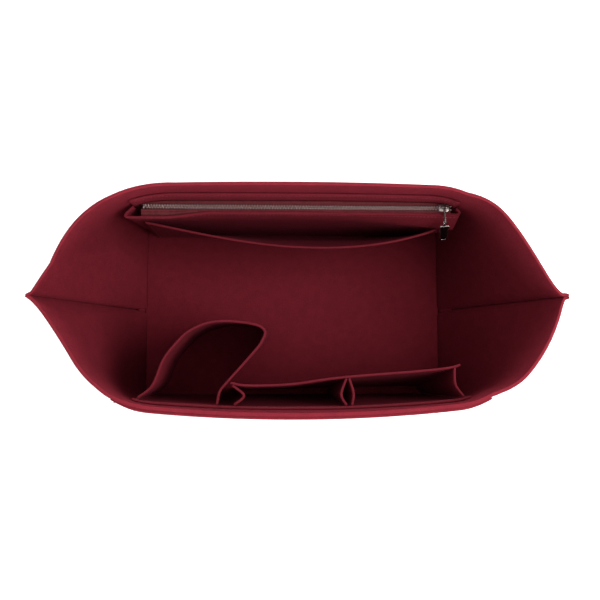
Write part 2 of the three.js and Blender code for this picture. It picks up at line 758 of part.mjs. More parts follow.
const tub = new THREE.Group();
tub.add(
  named("back_panel", sheet(backWall.rows, shellFelt), felt()),
  named("front_panel", sheet(frontWall.rows, shellFelt), felt()),
  named("base_panel", basePanel(), felt()),
  named("outer_pocket_panel", outerPocketPanel(), felt()),
  named("front_pocket_backing", backingPanel(frontWall, frontBackingTopIn), felt()),
  named("bottle_pocket_panel", bottlePocketPanel(), felt()),
  named("slot_pocket_face", slotFacePanel(), felt()),
  named("zip_pocket_rear_panel", backingPanel(backWall, zipBackingTopIn), felt()),
  named("zip_pocket_front_panel", zipFrontPanel(), felt()),
  named("slip_pocket_panel", slipPocketPanel(), felt()),
);
[
  ["slot_gusset_left", "left"],
  ["slot_gusset_mid_left", "midLeft"],
  ["slot_gusset_mid_right", "midRight"],
  ["slot_gusset_right", "right"],
].forEach(([name, place]) => tub.add(named(name, slotGussetPanel(place), felt())));

tub.add(
  named("zipper_tape_rear", zipperTape(1, rearFeltLine), weave()),
  named("zipper_tape_front", zipperTape(-1, frontFeltLine), weave()),
  named("zipper_teeth_rear", zipperTeeth(1, 0.25), metal(nickel)),
  named("zipper_teeth_front", zipperTeeth(-1, 0.75), metal(nickel)),
  named("zipper_bottom_stop", stop(chainLeft - seat - stopLength / 2, zipY, 2 * cordFar), metal(nickel)),
);
[
  ["zipper_top_stop_rear", 1],
  ["zipper_top_stop_front", -1],
].forEach(([name, side]) => {
  const y = zipY + (side * (cordNear + cordFar)) / 2;
  tub.add(named(name, stop(topStopX, y, stopWidth), metal(nickel)));
});

const slider = new THREE.Group();
slider.position.set(sliderX, zipY, zipZ);
const link = new THREE.Group();
link.position.z = pivotZ;
const tab = new THREE.Group();
tab.position.y = -linkReach;
tab.rotation.x = -tabLean;
const tabMesh = named("pull_tab", pullTab(), metal(gunmetal));
tabMesh.position.z = -linkBend;
tabMesh.rotation.y = -tabSway;
tab.add(tabMesh);
link.add(named("pull_link", pullLink(), metal(gunmetal)), tab);
slider.add(named("zipper_slider", zipperSlider(), metal(nickel)), link);
tub.add(slider);

const part = new THREE.Group();
part.add(tub);
const box3 = new THREE.Box3().setFromObject(part);
tub.position.set(-(box3.min.x + box3.max.x) / 2, -(box3.min.y + box3.max.y) / 2, -box3.min.z);

export default part;
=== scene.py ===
"""Looks of the purse organizer insert: felt, thread, zip and pull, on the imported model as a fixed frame.

Lengths are in millimetres until a mesh is made, where MM turns them into metres. The felt pieces are
shaped in the seam frame of the CAD source, whose Y = 0 is the plane of the side seams.
"""
import math
from collections import namedtuple

import bmesh
import bpy
import numpy as np
from mathutils import Matrix, Vector

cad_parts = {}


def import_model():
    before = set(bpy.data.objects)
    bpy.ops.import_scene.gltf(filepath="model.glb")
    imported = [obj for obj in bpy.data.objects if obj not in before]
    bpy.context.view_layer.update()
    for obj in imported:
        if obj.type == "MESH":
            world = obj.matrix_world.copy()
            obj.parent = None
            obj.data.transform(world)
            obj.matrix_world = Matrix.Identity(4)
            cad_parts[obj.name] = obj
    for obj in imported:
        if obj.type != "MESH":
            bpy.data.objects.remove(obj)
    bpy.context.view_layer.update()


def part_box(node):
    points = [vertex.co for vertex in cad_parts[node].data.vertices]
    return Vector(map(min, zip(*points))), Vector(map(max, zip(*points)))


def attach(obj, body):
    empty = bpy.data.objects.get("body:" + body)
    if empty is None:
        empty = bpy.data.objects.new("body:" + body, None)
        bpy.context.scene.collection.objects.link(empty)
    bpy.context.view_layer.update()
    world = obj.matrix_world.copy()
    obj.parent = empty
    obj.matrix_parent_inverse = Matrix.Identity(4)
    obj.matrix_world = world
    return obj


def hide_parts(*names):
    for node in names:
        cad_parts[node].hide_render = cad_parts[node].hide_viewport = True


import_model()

MM = 0.001

CAMERA_PLACE = (-39.17, -79.88, 892.10)
CAMERA_FORWARD = (0.0517, 0.1022, -0.9934)
CAMERA_ROLL = -0.0037
CAMERA_LENS = 52.02
CAMERA_SENSOR = 36.0

# The felt and the zip. Names and most values are the CAD source's; the rim, the fins and some seams lie
# closer to the photo.
SHELL_FELT = 3.0
BASE_FELT = 2.5
BASE_TURN = 0.5
BASE_TURN_ANGLES = (22.5, 45, 67.5, 90)
POCKET_FELT = 2.0
SEAT = 0.3
EDGE_SEAT = 0.45
SEAM_GAP = 0.04  # sewn plies touch here; the CAD keeps its pieces a seat apart
SEAM_OVERLAP = 0.3  # the two layers of a side seam are pressed into each other
TAPE_SEAT = 0.5
FLOOR_LENGTH = 298.0
FLOOR_WIDTH = 174.0
FLOOR_CORNER_BEND = 14.0
PANEL_HEIGHT = 170.0
FLOOR_RECESS = 4.0
FIN_WIDTHS = (7.5, 9.0)
FIN_BEND_SHARE = 0.5
FIN_TIP_SHARES = (0.45, 0.75)  # how much of the felt's thickness is left at the tips of the fins
FIN_PRESSED = (3.0, 2.2)
FOOT_SEAM_BEND = 4.0
RIM_TIPS = (234.0, 235.5)
End = namedtuple("End", "seam_out seam_bend corner_out corner_bend seam_bow corner_bow")
Rim = namedtuple("Rim", "wall_out bow left right")
BACK_RIM = Rim(3.5, 2.3, End(79.5, 3.5, 29.3, 73.3, -2.4, 1.2), End(76.4, 17.1, -1.8, 37.7, 0.2, 5.5))
FRONT_RIM = Rim(1.5, 11.2, End(79.0, 18.9, 19.5, 45.1, -2.6, -1.6), End(80.7, 9.7, 16.0, 35.4, 5.9, 5.3))
BOW_GAIN = 27 / 4  # the cube that shapes a bow is 4/27 at its highest
UPRIGHT_ROWS = 3
WALL_ROWS = 30
OUTER_DROP = 5.0
OUTER_TIP_SHARES = (0.42, 0.8)
OUTER_PRESSED_WIDTH = 22.0
BACKING_DROP = 25.0
BACKING_FOOT_IN = (10.0, 12.0)
BACKING_COLUMNS = 91
FRONT_BACKING_TOP_IN = (5.0, 1.0)
ZIP_BACKING_TOP_IN = (0.0, 7.0)
ZIP_DROP = 42.0
ZIP_FROM_BACKING = 6.7
TAPE_THICKNESS = 0.6
TAPE_MARGIN = 8.0
TAPE_SHOWING = 4.7
TAPE_IN = (8.5, 12.0)
TAPE_GRID = (5, 111)
TAPE_TURN_SHARES = ((0.08, 0.6), (0.22, 0.2), (0.4, 0.04), (0.7, 0.0), (1.0, 0.0))
TAPE_ROUNDING = 0.15
CHAIN_LEFT_IN = 12.0
TOOTH_PITCH = 2.42
TOOTH_WIDTH = 0.9
TOOTH_HEIGHT = 2.4
TOOTH_ROW_SHARES = {"rear": 0.25, "front": 0.75}  # where each row's first tooth is in the pitch
# Along a tooth from its head: how far out it is, then shares of its width and height.
TOOTH_SHAPE = (
    (-0.9, 0.4, 0.25), (-0.8, 0.62, 0.42), (-0.45, 0.68, 0.56), (0.0, 0.72, 0.7), (0.45, 0.92, 0.92),
    (0.8, 1.0, 1.0), (1.6, 1.0, 0.98), (1.88, 0.9, 0.82), (2.0, 0.6, 0.5),
)
TOOTH_SECTION_SHARES = (
    (0.0, 1.0), (0.62, 0.94), (0.93, 0.8), (1.0, 0.5), (1.0, -0.5), (0.93, -0.8), (0.62, -0.94),
    (0.0, -1.0), (-0.62, -0.94), (-0.93, -0.8), (-1.0, -0.5), (-1.0, 0.5), (-0.93, 0.8), (-0.62, 0.94),
)
CORD_POINTS = 160
CORD_NEAR = 1.0
CORD_FAR = 2.0
CORD_HEIGHT = 1.5
SLIDER_IN = 18.0
SHOULDER_X = 1.2
ZIP_FRONT_ABOVE_TEETH = 1.8
ZIP_FRONT_FULL_BELOW = 18.0
ZIP_FRONT_FULL_FORWARD = 6.0
ZIP_FRONT_FOOT_DEPTH = 9.5
ZIP_FRONT_FORWARD = (2.4, 8.0)
RIM_FORWARD = 4.6
RIM_FORWARD_IN = (27.0, 74.0)
ZIP_FRONT_BENDS = (6.0, 8.5)
ZIP_FRONT_STEPS = (4, 12, 80, 12, 4)
ZIP_FRONT_ROWS = (24, 7)
ZIP_START_IN = ((13.0, 2.0), (16.0, 6.5))  # left and right, each at the foot and at the top
ZIP_CORNER_IN = ((6.0, -8.0), (9.5, 0.0))
SLIP_IN = (9.7, 21.5)
SLIP_BULGE = 23.8
SLIP_BULGE_SHARES = (0.92, 1.82)
SLIP_GRID = (26, 81)
BOTTLE_DROP = 26.0
BOTTLE_LEFT_IN = 9.7
BOTTLE_WIDTH = 108.5
BOTTLE_DEPTH = 72.0
BOTTLE_FOOT_SPREAD = 6.0
BOTTLE_FOOT_DRAW = 3.0
BOTTLE_GRID = (28, 9)
BOTTLE_END_SHARE = 0.621
BOTTLE_SHARES = (
    (0.11, 0.18), (0.2, 0.51), (0.3, 0.72), (0.4, 0.87), (0.6, 1.0), (0.95, 0.968),
    (1.0, 0.9), (0.97, 0.767), (0.88, 0.594), (0.714, 0.303), (0.645, 0.17),
)
SLOT_DROP = 26.0
SLOT_FROM_BOTTLE = 11.6
SLOT_RIGHT_IN = (19.0, 9.6)
SLOT_DEPTH = 28.0
SLOT_FOOT_SHARE = 0.3
SLOT_GRID = (24, 14)
GUSSET_STEPS = 16
SLOT_FACE_SHARES = (
    (0.0, 0.71), (0.05, 0.65), (0.17, 0.665), (0.27, 0.71), (0.43, 0.86), (0.6, 0.935), (0.95, 0.995),
    (1.0, 1.04),
)
GUSSET_STITCH_SHARES = (0.009, 0.5, 0.5135, 0.975)
# Edges and tubes: turns in degrees, and shares of a crowned plate's half width and of its crown.
FELT_ROUNDING = 0.6
EDGE_SEGMENTS = 2
EDGE_ANGLE = 50
EDGE_TURNS = (0, 30, 60, 90)
CROWN_SHARES = ((0.35, 0.55), (0.6, 0.85), (0.85, 1.0))
BEAD_TURNS = (25, 50, 75)
BEAD_SIDES = 12
TUBE_SIDES = 14
STITCH_PITCH = 3.4
STITCH_LENGTH = 2.5
STITCH_SIDES = 6
STITCH_LIFTS = (-0.35, 0.02, 0.1, 0.02, -0.35)
THREAD_RADIUS = 0.2
FIBRE_TURNS = ((0.4, 0.9, 0.2), (1.3, 0.3, 0.8), (0.2, 1.9, 1.4))
FOOT_STITCH_Z = 3.4
FIN_STITCH_IN = 3.0
PLY_STITCH_IN = 3.5
ZIP_STITCH_DROP = 3.2
TACK_HALF_WIDTHS = (2.4, 0.5)
TACK_LEVELS = (7.0, 24.0)
TACK_DIP = 0.12
TACK_ROOT = 0.2
LINK_PIVOT_RISE = 5.0
LINK_REACH = 13.1
LINK_BEND = 1.75
LINK_WIRE = 1.1
LINK_STEPS = 12
# Blocks of the zip: their ends in x, y and z, then the rounding of their edges.
STOP_Z = (-1.45, 1.45)
BOTTOM_STOP = ((-139.0, -137.3), (-2.0, 2.0), STOP_Z, 0.4)
TOP_STOP = ((136.3, 138.0), (0.9, 2.1), STOP_Z, 0.3)
SLIDER_POST = ((2.6, 4.2), (-0.45, 0.45), (-1.6, 1.6), 0.15)
SLIDER_FLANGE = ((-4.9, 1.2), (2.4, 3.2), (0.55, 1.95), 0.18)
BLOCK_CORNER_SHARE = 1.5
CORNER_STEPS = 4
# Half of the slider's plate in plan, from its tail to its nose.
PLATE_HALF = (
    (-5.0, 0.0), (-4.9, 2.3), (-4.3, 3.15), (-2.0, 3.45), (1.2, 3.9), (3.5, 3.3), (4.7, 1.7), (5.0, 0.0),
)
PLATE_STEPS = 4
PLATE_INNER = 1.5
PLATE_OUTER = 2.4
PLATE_EDGE = 0.3
PLATE_CROWN = 0.3
UNDER_PLATE_SHARE = 0.82
BRIDGE_RISE = 5.0
BRIDGE_HALF = ((3.05, 2.2), (3.05, 3.4), (2.4, 4.6), (1.2, BRIDGE_RISE))
BRIDGE_SECTION = (0.75, 0.45)
BRIDGE_STEPS = 5
TAB_LEAN = -25.0
TAB_SWAY = -8.0
TAB_DROP = 4.6
TAB_LENGTH = 22.5  # from the shoulders; the CAD's is from the eye, so its tab is shorter
TAB_TOP_WIDTH = 8.6
TAB_END_WIDTH = 7.6
TAB_END_CORNER = 3.0
TAB_CORNER_STEPS = 6
TAB_WIRE = 0.6
TAB_PLATE_SHARE = 0.93
TAB_PLATE_CORNER = 2.2
TAB_PLATE_Y = (-0.35, 0.35)
TAB_PLATE_EDGE = 0.2
FRAME_TOP_DROP = 1.2
BAIL_RADIUS = 1.6
BAIL_TURNS = (0, 345)
BAIL_STEPS = 23
NECK_CORNERS = ((-1.4, -5.2), (1.4, -5.2), (1.1, -1.7), (-1.1, -1.7))
NECK_CORNER = 0.4
NECK_Y = (-0.5, 0.5)
NECK_EDGE = 0.2
BAR_DROP = 0.9
BAR_RADIUS = 0.9
BAR_HALF_LENGTH = 3.5
BAR_POINTS = 9
GUSSETS = {  # name: bow to the right at the rim, then shares of the bow, of the wall and of the face
    "slot_gusset_left": (12.3, 0.5, 0.016, 0.009),
    "slot_gusset_mid_left": (-6.0, 0.4, 0.501, 0.501),
    "slot_gusset_mid_right": (3.3, 0.42, 0.524, 0.5127),
    "slot_gusset_right": (-4.8, 0.45, 1.013, 0.975),
}

FLOOR_END_X = FLOOR_LENGTH / 2
SEAM_X = FLOOR_END_X + SHELL_FELT / 2
SEAM_BAND = FLOOR_RECESS + BASE_FELT
FOOT_Z = SEAM_BAND + SEAT
BACKING_DEPTH = SHELL_FELT / 2 + SEAT + POCKET_FELT / 2
FACE_DEPTH = BACKING_DEPTH + POCKET_FELT / 2
OUTER_TOP = PANEL_HEIGHT - OUTER_DROP
BACKING_TOP = PANEL_HEIGHT - BACKING_DROP
BOTTLE_TOP = PANEL_HEIGHT - BOTTLE_DROP
SLOT_TOP = PANEL_HEIGHT - SLOT_DROP
ZIP_Z = PANEL_HEIGHT - ZIP_DROP
ZIP_FRONT_TOP = ZIP_Z + ZIP_FRONT_ABOVE_TEETH
SLIP_TOP = ZIP_Z - ZIP_FRONT_FULL_BELOW
CHAIN_LEFT = CHAIN_LEFT_IN - FLOOR_END_X
SLIDER_X = FLOOR_END_X - SLIDER_IN
TEETH_PER_ROW = int((SLIDER_X + SHOULDER_X - CHAIN_LEFT) / TOOTH_PITCH)
BOTTLE_LEFT = BOTTLE_LEFT_IN - FLOOR_END_X
BOTTLE_END = BOTTLE_LEFT + BOTTLE_WIDTH * BOTTLE_END_SHARE
SLOT_LEVELS = np.linspace(FOOT_Z, SLOT_TOP, SLOT_GRID[0])
SEAM_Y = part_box("back_panel")[0][1] / MM - SEAT / 2  # where the plane of the seams is in the part's frame


def lerp(a, b, t):
    return a + (b - a) * t


def unit(vectors):
    return vectors / np.linalg.norm(vectors, axis=-1, keepdims=True)


def bezier(points, steps):
    t = np.linspace(0, 1, steps + 1)[:, None]
    last = len(points) - 1
    return sum(math.comb(last, i) * (1 - t) ** (last - i) * t**i * p for i, p in enumerate(points))


def bent_line(corners, bends, steps):
    corners = [np.array(c, float) for c in corners]
    pieces, start = [], corners[0]
    for i in range(1, len(corners) - 1):
        before_bend, after_bend = np.broadcast_to(bends[i - 1], 2)
        before = corners[i] + unit(corners[i - 1] - corners[i]) * before_bend
        after = corners[i] + unit(corners[i + 1] - corners[i]) * after_bend
        pieces.append(bezier([start, before], steps[2 * i - 2]))
        pieces.append(bezier([before, corners[i], after], steps[2 * i - 1]))
        start = after
    pieces.append(bezier([start, corners[-1]], steps[-1]))
    return np.concatenate([p if i == 0 else p[1:] for i, p in enumerate(pieces)])


def smooth_line(points, steps):
    """A centripetal curve through points."""
    p = [np.array(q, float) for q in points]
    p = [2 * p[0] - p[1], *p, 2 * p[-1] - p[-2]]
    out = [p[1][None]]
    t = np.linspace(0, 1, steps + 1)[1:, None]
    for a, b, c, d in zip(p, p[1:], p[2:], p[3:]):
        before, along, after = (np.linalg.norm(v) ** 0.5 for v in (b - a, c - b, d - c))
        m = ((b - a) / before - (c - a) / (before + along) + (c - b) / along) * along
        n = ((c - b) / along - (d - b) / (along + after) + (d - c) / after) * along
        out.append(b + m * t + (3 * (c - b) - 2 * m - n) * t**2 + (2 * (b - c) + m + n) * t**3)
    return np.concatenate(out)


def shifted(points, distance):
    along = np.empty_like(points)
    along[1:-1] = points[2:] - points[:-2]
    along[0] = points[1] - points[0]
    along[-1] = points[-1] - points[-2]
    return points + unit(np.stack([-along[:, 1], along[:, 0]], 1)) * distance


def y_on(points, x):
    return np.interp(x, points[:, 0], points[:, 1])


def at_height(points, z):
    return np.column_stack([points, np.full(len(points), z)])


# Steps of a body panel's line: fin, seam bend, end, corner, wall, corner, end, seam bend and fin.
SHELL_STEPS = (2, 8, 14, 20, 56, 20, 14, 8, 2)
FIRST_END = SHELL_STEPS[0] + SHELL_STEPS[1]
MID_CORNER = FIRST_END + SHELL_STEPS[2] + SHELL_STEPS[3] // 2
OUTER_SPAN = slice(MID_CORNER + 2, -MID_CORNER - 1)


def bowed(point, seam, corner, end):
    """A point between a side seam and the corner of the wall, pushed out by the bow of the end."""
    run = corner - seam
    share = (point - seam) @ run / (run @ run)
    if not 0 < share < 1:
        return point
    push = np.array([run[1], -run[0]]) * np.sign(seam[0] * corner[1])
    height = lerp(end.seam_bow, end.corner_bow, share) * share * (1 - share) * BOW_GAIN
    return point + unit(push) * height


def half_outline(side, tips, rim):
    """A body panel's middle line in plan, from its left tip to its right tip."""
    fin_y = side * (SHELL_FELT - SEAM_OVERLAP) / 2
    wall_y = side * (FLOOR_WIDTH / 2 + SHELL_FELT / 2 + rim.wall_out)
    ends = (rim.left, rim.right)
    fins, seams, corners, fin_bends = [], [], [], []
    for sign, tip, end in zip((-1, 1), tips, ends):
        fins.append(np.array([sign * tip, fin_y]))
        seams.append(np.array([sign * (SEAM_X + end.seam_out), fin_y]))
        corners.append(np.array([sign * (SEAM_X + end.corner_out), wall_y]))
        fin_bends.append(min(end.seam_bend, FIN_BEND_SHARE * (tip - SEAM_X - end.seam_out)))
    left, right = ends
    bends = [
        (fin_bends[0], left.seam_bend), left.corner_bend, right.corner_bend, (right.seam_bend, fin_bends[1]),
    ]
    points = bent_line([fins[0], seams[0], *corners, seams[1], fins[1]], bends, SHELL_STEPS)
    for i, point in enumerate(points.copy()):
        hand = 0 if point[0] < 0 else 1
        out = point[0] / corners[hand][0]
        points[i] = bowed(point, seams[hand], corners[hand], ends[hand])
        if out < 1:
            points[i, 1] += side * rim.bow * (1 - out**2)
    return points


class Wall:
    """One body panel: straight lines from its foot to its rim, on a short upright band."""

    def __init__(self, side, rim):
        end = End(0.0, FOOT_SEAM_BEND, 0.0, FLOOR_CORNER_BEND, 0.0, 0.0)
        self.side = side
        self.low = half_outline(side, np.add(SEAM_X, FIN_WIDTHS), Rim(0.0, 0.0, end, end))
        self.high = half_outline(side, RIM_TIPS, rim)
        slope = PANEL_HEIGHT - SEAM_BAND
        self.rise = np.sqrt(slope**2 - ((self.high - self.low) ** 2).sum(1))

    def plan(self, z):
        share = np.maximum(0, (z - SEAM_BAND) / self.rise)[:, None]
        return self.low + (self.high - self.low) * share

    def inside(self, z, depth):
        return shifted(self.plan(z), -self.side * depth)[FIRST_END:-FIRST_END]

    def rows(self, shares):
        rows = [at_height(self.low, z) for z in np.linspace(0, SEAM_BAND, UPRIGHT_ROWS + 1)[:-1]]
        for share in shares:
            plan = self.low + (self.high - self.low) * share
            rows.append(np.column_stack([plan, SEAM_BAND + self.rise * share]))
        return np.array(rows)


BACK = Wall(1, BACK_RIM)
FRONT = Wall(-1, FRONT_RIM)
ZIP_Y = float(y_on(BACK.inside(ZIP_Z, FACE_DEPTH), 0)) - ZIP_FROM_BACKING
ZIP_FRONT_Y = ZIP_Y - TAPE_SHOWING - POCKET_FELT / 2


# Each felt piece is a grid of points on its middle surface, from its foot up and from left to right.
def raised(line_at, levels):
    return np.array([at_height(line_at(z), z) for z in levels])


def outer_pocket_line(z):
    return shifted(FRONT.plan(z), FRONT.side * (SHELL_FELT + SEAM_GAP))[OUTER_SPAN]


def backing_rows(wall, top_in):
    def line_at(z):
        share = (z - FOOT_Z) / (BACKING_TOP - FOOT_Z)
        left = lerp(BACKING_FOOT_IN[0], top_in[0], share) - FLOOR_END_X
        right = FLOOR_END_X - lerp(BACKING_FOOT_IN[1], top_in[1], share)
        xs = np.linspace(left, right, BACKING_COLUMNS)
        return np.column_stack([xs, y_on(wall.inside(z, BACKING_DEPTH), xs)])

    return raised(line_at, np.linspace(FOOT_Z, BACKING_TOP, WALL_ROWS))


def zip_front_line(x, z):
    foot_y = FLOOR_WIDTH / 2 + SHELL_FELT / 2 - ZIP_FRONT_FOOT_DEPTH
    low = z < SLIP_TOP
    share = (z - FOOT_Z) / (SLIP_TOP - FOOT_Z) if low else (ZIP_FRONT_TOP - z) / (ZIP_FRONT_TOP - SLIP_TOP)
    middle = lerp(foot_y if low else ZIP_FRONT_Y, ZIP_Y - ZIP_FRONT_FULL_FORWARD, share)
    forward = np.where(x < 0, *ZIP_FRONT_FORWARD)
    end = FLOOR_END_X - np.where(x < 0, *SLIP_IN)
    near_rim = max(0.0, (z - SLIP_TOP) / (ZIP_FRONT_TOP - SLIP_TOP))
    full, start = RIM_FORWARD_IN
    lean = np.clip((start - FLOOR_END_X - x) / (start - full), 0, 1)
    lean = lean**2 * (3 - 2 * lean)
    return middle - forward * share * (x / end) ** 2 - RIM_FORWARD * near_rim * lean


def stand_off(along, away):
    return EDGE_SEAT + POCKET_FELT / 2 * abs(along) / math.hypot(along, away)


def zip_front_plan(z):
    share = (z - FOOT_Z) / (ZIP_FRONT_TOP - FOOT_Z)
    face = BACK.inside(z, FACE_DEPTH)
    middle_y = float(zip_front_line(0.0, z))
    starts, corners = [], []
    for sign, start_in, corner_in in zip((-1, 1), ZIP_START_IN, ZIP_CORNER_IN):
        x = sign * (FLOOR_END_X - lerp(*start_in, share))
        corner_x = sign * (FLOOR_END_X - lerp(*corner_in, share))
        y = float(y_on(face, x))
        starts.append((x, y - stand_off(corner_x - x, y - middle_y)))
        corners.append((corner_x, middle_y))
    line = [starts[0], corners[0], corners[1], starts[1]]
    points = bent_line(line, ZIP_FRONT_BENDS, ZIP_FRONT_STEPS)
    reach = np.maximum(0, (starts[0][1] - points[:, 1]) / (starts[0][1] - middle_y))
    points[:, 1] += (zip_front_line(points[:, 0], z) - middle_y) * reach
    return points


def slip_line(z):
    bulge = bezier([0, *SLIP_BULGE_SHARES, 0], SLIP_GRID[1] - 1)[:, 0]
    xs = np.linspace(SLIP_IN[0] - FLOOR_END_X, FLOOR_END_X - SLIP_IN[1], SLIP_GRID[1])
    fullness = SLIP_BULGE * (z - FOOT_Z) / (SLIP_TOP - FOOT_Z)
    return np.column_stack([xs, zip_front_line(xs, z) - POCKET_FELT - EDGE_SEAT - fullness * bulge])


def on_front_backing(points, z):
    """Points given by x and by their distance from the front backing's face."""
    face = FRONT.inside(z, FACE_DEPTH)
    return [(x, float(y_on(face, x)) + depth) for x, depth in points]


def bottle_line(z):
    below = 1 - (z - FOOT_Z) / (BOTTLE_TOP - FOOT_Z)
    depth = BOTTLE_DEPTH - BOTTLE_FOOT_DRAW * below
    between = [
        (BOTTLE_LEFT + BOTTLE_WIDTH * along + BOTTLE_FOOT_SPREAD * below * along * out, depth * out)
        for along, out in BOTTLE_SHARES
    ]
    start = (BOTTLE_LEFT, stand_off(between[0][0] - BOTTLE_LEFT, between[0][1]))
    end = (BOTTLE_END, stand_off(between[-1][0] - BOTTLE_END, between[-1][1]))
    return smooth_line(on_front_backing([start, *between, end], z), BOTTLE_GRID[1])


def slot_at(z):
    opened = (z - FOOT_Z) / (SLOT_TOP - FOOT_Z)
    depth_share = lerp(SLOT_FOOT_SHARE, 1, opened)
    left = BOTTLE_END + SLOT_FROM_BOTTLE
    length = FLOOR_END_X - lerp(*SLOT_RIGHT_IN, opened) - left
    face = [(left + length * along, SLOT_DEPTH * out * depth_share) for along, out in SLOT_FACE_SHARES]
    return opened, left, length, smooth_line(face, SLOT_GRID[1])


def gusset_rows(bow, bow_share, wall_share, face_share):
    def line_at(z):
        opened, left, length, face = slot_at(z)
        wall_x, face_x = left + length * wall_share, left + length * face_share
        room = float(y_on(face, face_x)) - POCKET_FELT / 2
        bow_x = lerp(wall_x, face_x, bow_share) + bow * opened
        bow_depth = room * bow_share
        places = [
            (wall_x, stand_off(bow_x - wall_x, bow_depth)),
            (bow_x, bow_depth),
            (face_x, room - stand_off(bow_x - face_x, room - bow_depth) + EDGE_SEAT - SEAM_GAP),
        ]
        wall, middle, end = (np.array(p) for p in on_front_backing(places, z))
        return bezier([wall, middle, middle, end], GUSSET_STEPS)

    return raised(line_at, SLOT_LEVELS)


def tape_rows(side, felt_line):
    levels, columns = TAPE_GRID
    xs = np.linspace(TAPE_IN[0] - FLOOR_END_X, FLOOR_END_X - TAPE_IN[1], columns)
    margin = side * (TAPE_SEAT + TAPE_THICKNESS / 2)
    edge = ZIP_Y + side * (CORD_FAR + SEAT)
    rows = []
    for z in np.linspace(ZIP_Z - TAPE_MARGIN, ZIP_Z - 2 * TAPE_THICKNESS, levels):
        rows.append(at_height(np.column_stack([xs, felt_line(xs, z) - margin]), z))
    at_top = felt_line(xs, ZIP_Z) - margin
    for share, drop in TAPE_TURN_SHARES:
        ys = lerp(at_top, edge, share)
        rows.append(at_height(np.column_stack([xs, ys]), ZIP_Z - drop * TAPE_THICKNESS))
    return np.array(rows)


def in_scene(name, data):
    obj = bpy.data.objects.new(name, data)
    bpy.context.scene.collection.objects.link(obj)
    return obj


def piece(name, mesh, material, node=None, body="tub", smooth=True):
    """An object that rides on a body and replaces a node."""
    obj = in_scene(name, mesh)
    mesh.materials.append(material)
    if smooth:
        mesh.polygons.foreach_set("use_smooth", [True] * len(mesh.polygons))
    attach(obj, body)
    if node:
        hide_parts(node)
    return obj


def new_mesh(name, points, faces):
    """A mesh in the part's frame and in metres, from points in the seam frame."""
    mesh = bpy.data.meshes.new(name)
    points = (np.asarray(points, float).reshape(-1, 3) + [0, SEAM_Y, 0]) * MM
    mesh.from_pydata(points.tolist(), [], faces)
    return mesh


def distance_along(points):
    steps = np.linalg.norm(np.diff(points[:, :3], axis=0), axis=1)
    return np.concatenate([[0], np.cumsum(steps)])


def values_at(places, along, values):
    """Each column of values at places along a line."""
    return np.column_stack([np.interp(places, along, column) for column in values.T])


def normals_of(rows):
    along = np.gradient(rows, axis=1)
    up = np.gradient(rows, axis=0)
    normal = np.cross(along, up)
    normal[0, :, 2] = 0
    return unit(normal)


def pressed(rows, full, tips, widths, side):
    """A sheet whose ends are pressed against the felt on one side of it, and its thickness at each point."""
    steps = np.linalg.norm(np.diff(rows, axis=1), axis=2)
    along = np.concatenate([np.zeros((len(rows), 1)), np.cumsum(steps, axis=1)], axis=1)
    thickness = np.full(along.shape, full)
    for inset, tip, width in zip((along, along[:, -1:] - along), tips, widths):
        thickness = np.minimum(thickness, full * lerp(tip, 1, np.minimum(1, inset / width)))
    return rows + normals_of(rows) * (side * (full - thickness) / 2)[:, :, None], thickness


def sheet_mesh(name, rows, thickness):
    """A closed sheet round a grid of points, with its length along and across the cloth as UVs."""
    normal = normals_of(rows)
    r, c = rows.shape[:2]
    half = (np.broadcast_to(thickness, (r, c)) / 2)[:, :, None]
    points = np.concatenate([(rows + normal * half).reshape(-1, 3), (rows - normal * half).reshape(-1, 3)])
    ids = np.arange(r * c).reshape(r, c)
    near, far = ids, ids + r * c

    def quads(a, b, d, e):
        return np.stack([a.ravel(), b.ravel(), d.ravel(), e.ravel()], 1)

    faces = np.concatenate([
        quads(near[:-1, :-1], near[:-1, 1:], near[1:, 1:], near[1:, :-1]),
        quads(far[:-1, :-1], far[1:, :-1], far[1:, 1:], far[:-1, 1:]),
        quads(near[:-1, 0], near[1:, 0], far[1:, 0], far[:-1, 0]),
        quads(near[:-1, -1], far[:-1, -1], far[1:, -1], near[1:, -1]),
        quads(near[0, :-1], far[0, :-1], far[0, 1:], near[0, 1:]),
        quads(near[-1, :-1], near[-1, 1:], far[-1, 1:], far[-1, :-1]),
    ])
    mesh = new_mesh(name, points, faces.tolist())
    flat_faces = 2 * (r - 1) * (c - 1)
    mesh.polygons.foreach_set("material_index", [0] * flat_faces + [1] * (len(faces) - flat_faces))
    spans = distance_along(rows[r // 2]), distance_along(rows[:, c // 2])
    grid = np.stack(np.meshgrid(*spans), 2).reshape(-1, 2) * MM
    uv = np.concatenate([grid, grid])
    layer = mesh.uv_layers.new(name="cloth")
    loops = np.empty(len(mesh.loops), int)
    mesh.loops.foreach_get("vertex_index", loops)
    layer.data.foreach_set("uv", uv[loops].ravel())
    return mesh


def rounded(obj, width):
    bevel = obj.modifiers.new("edges", "BEVEL")
    bevel.width = width * MM
    bevel.segments = EDGE_SEGMENTS
    bevel.limit_method = "ANGLE"
    bevel.angle_limit = math.radians(EDGE_ANGLE)


def cloth(name, rows, thickness, material, node, rounding=FELT_ROUNDING, edge=None):
    obj = piece(name, sheet_mesh(name, rows, thickness), material, node)
    # The second material goes on the sheet's border faces. For felt it is painted lighter, as painted sheen
    # on the cut edges.
    obj.data.materials.append(edge or material)
    rounded(obj, rounding)
    spans = [np.linalg.norm(np.diff(rows, axis=axis), axis=2).sum(axis) for axis in (1, 0)]
    width, length = spans[0].max() * MM, spans[1].max() * MM
    cells = np.cross(rows[1:, 1:] - rows[:-1, :-1], rows[1:, :-1] - rows[:-1, 1:]) / 2
    area = float(np.linalg.norm(cells, axis=2).sum()) * MM**2
    area = min(area, float(width * length))


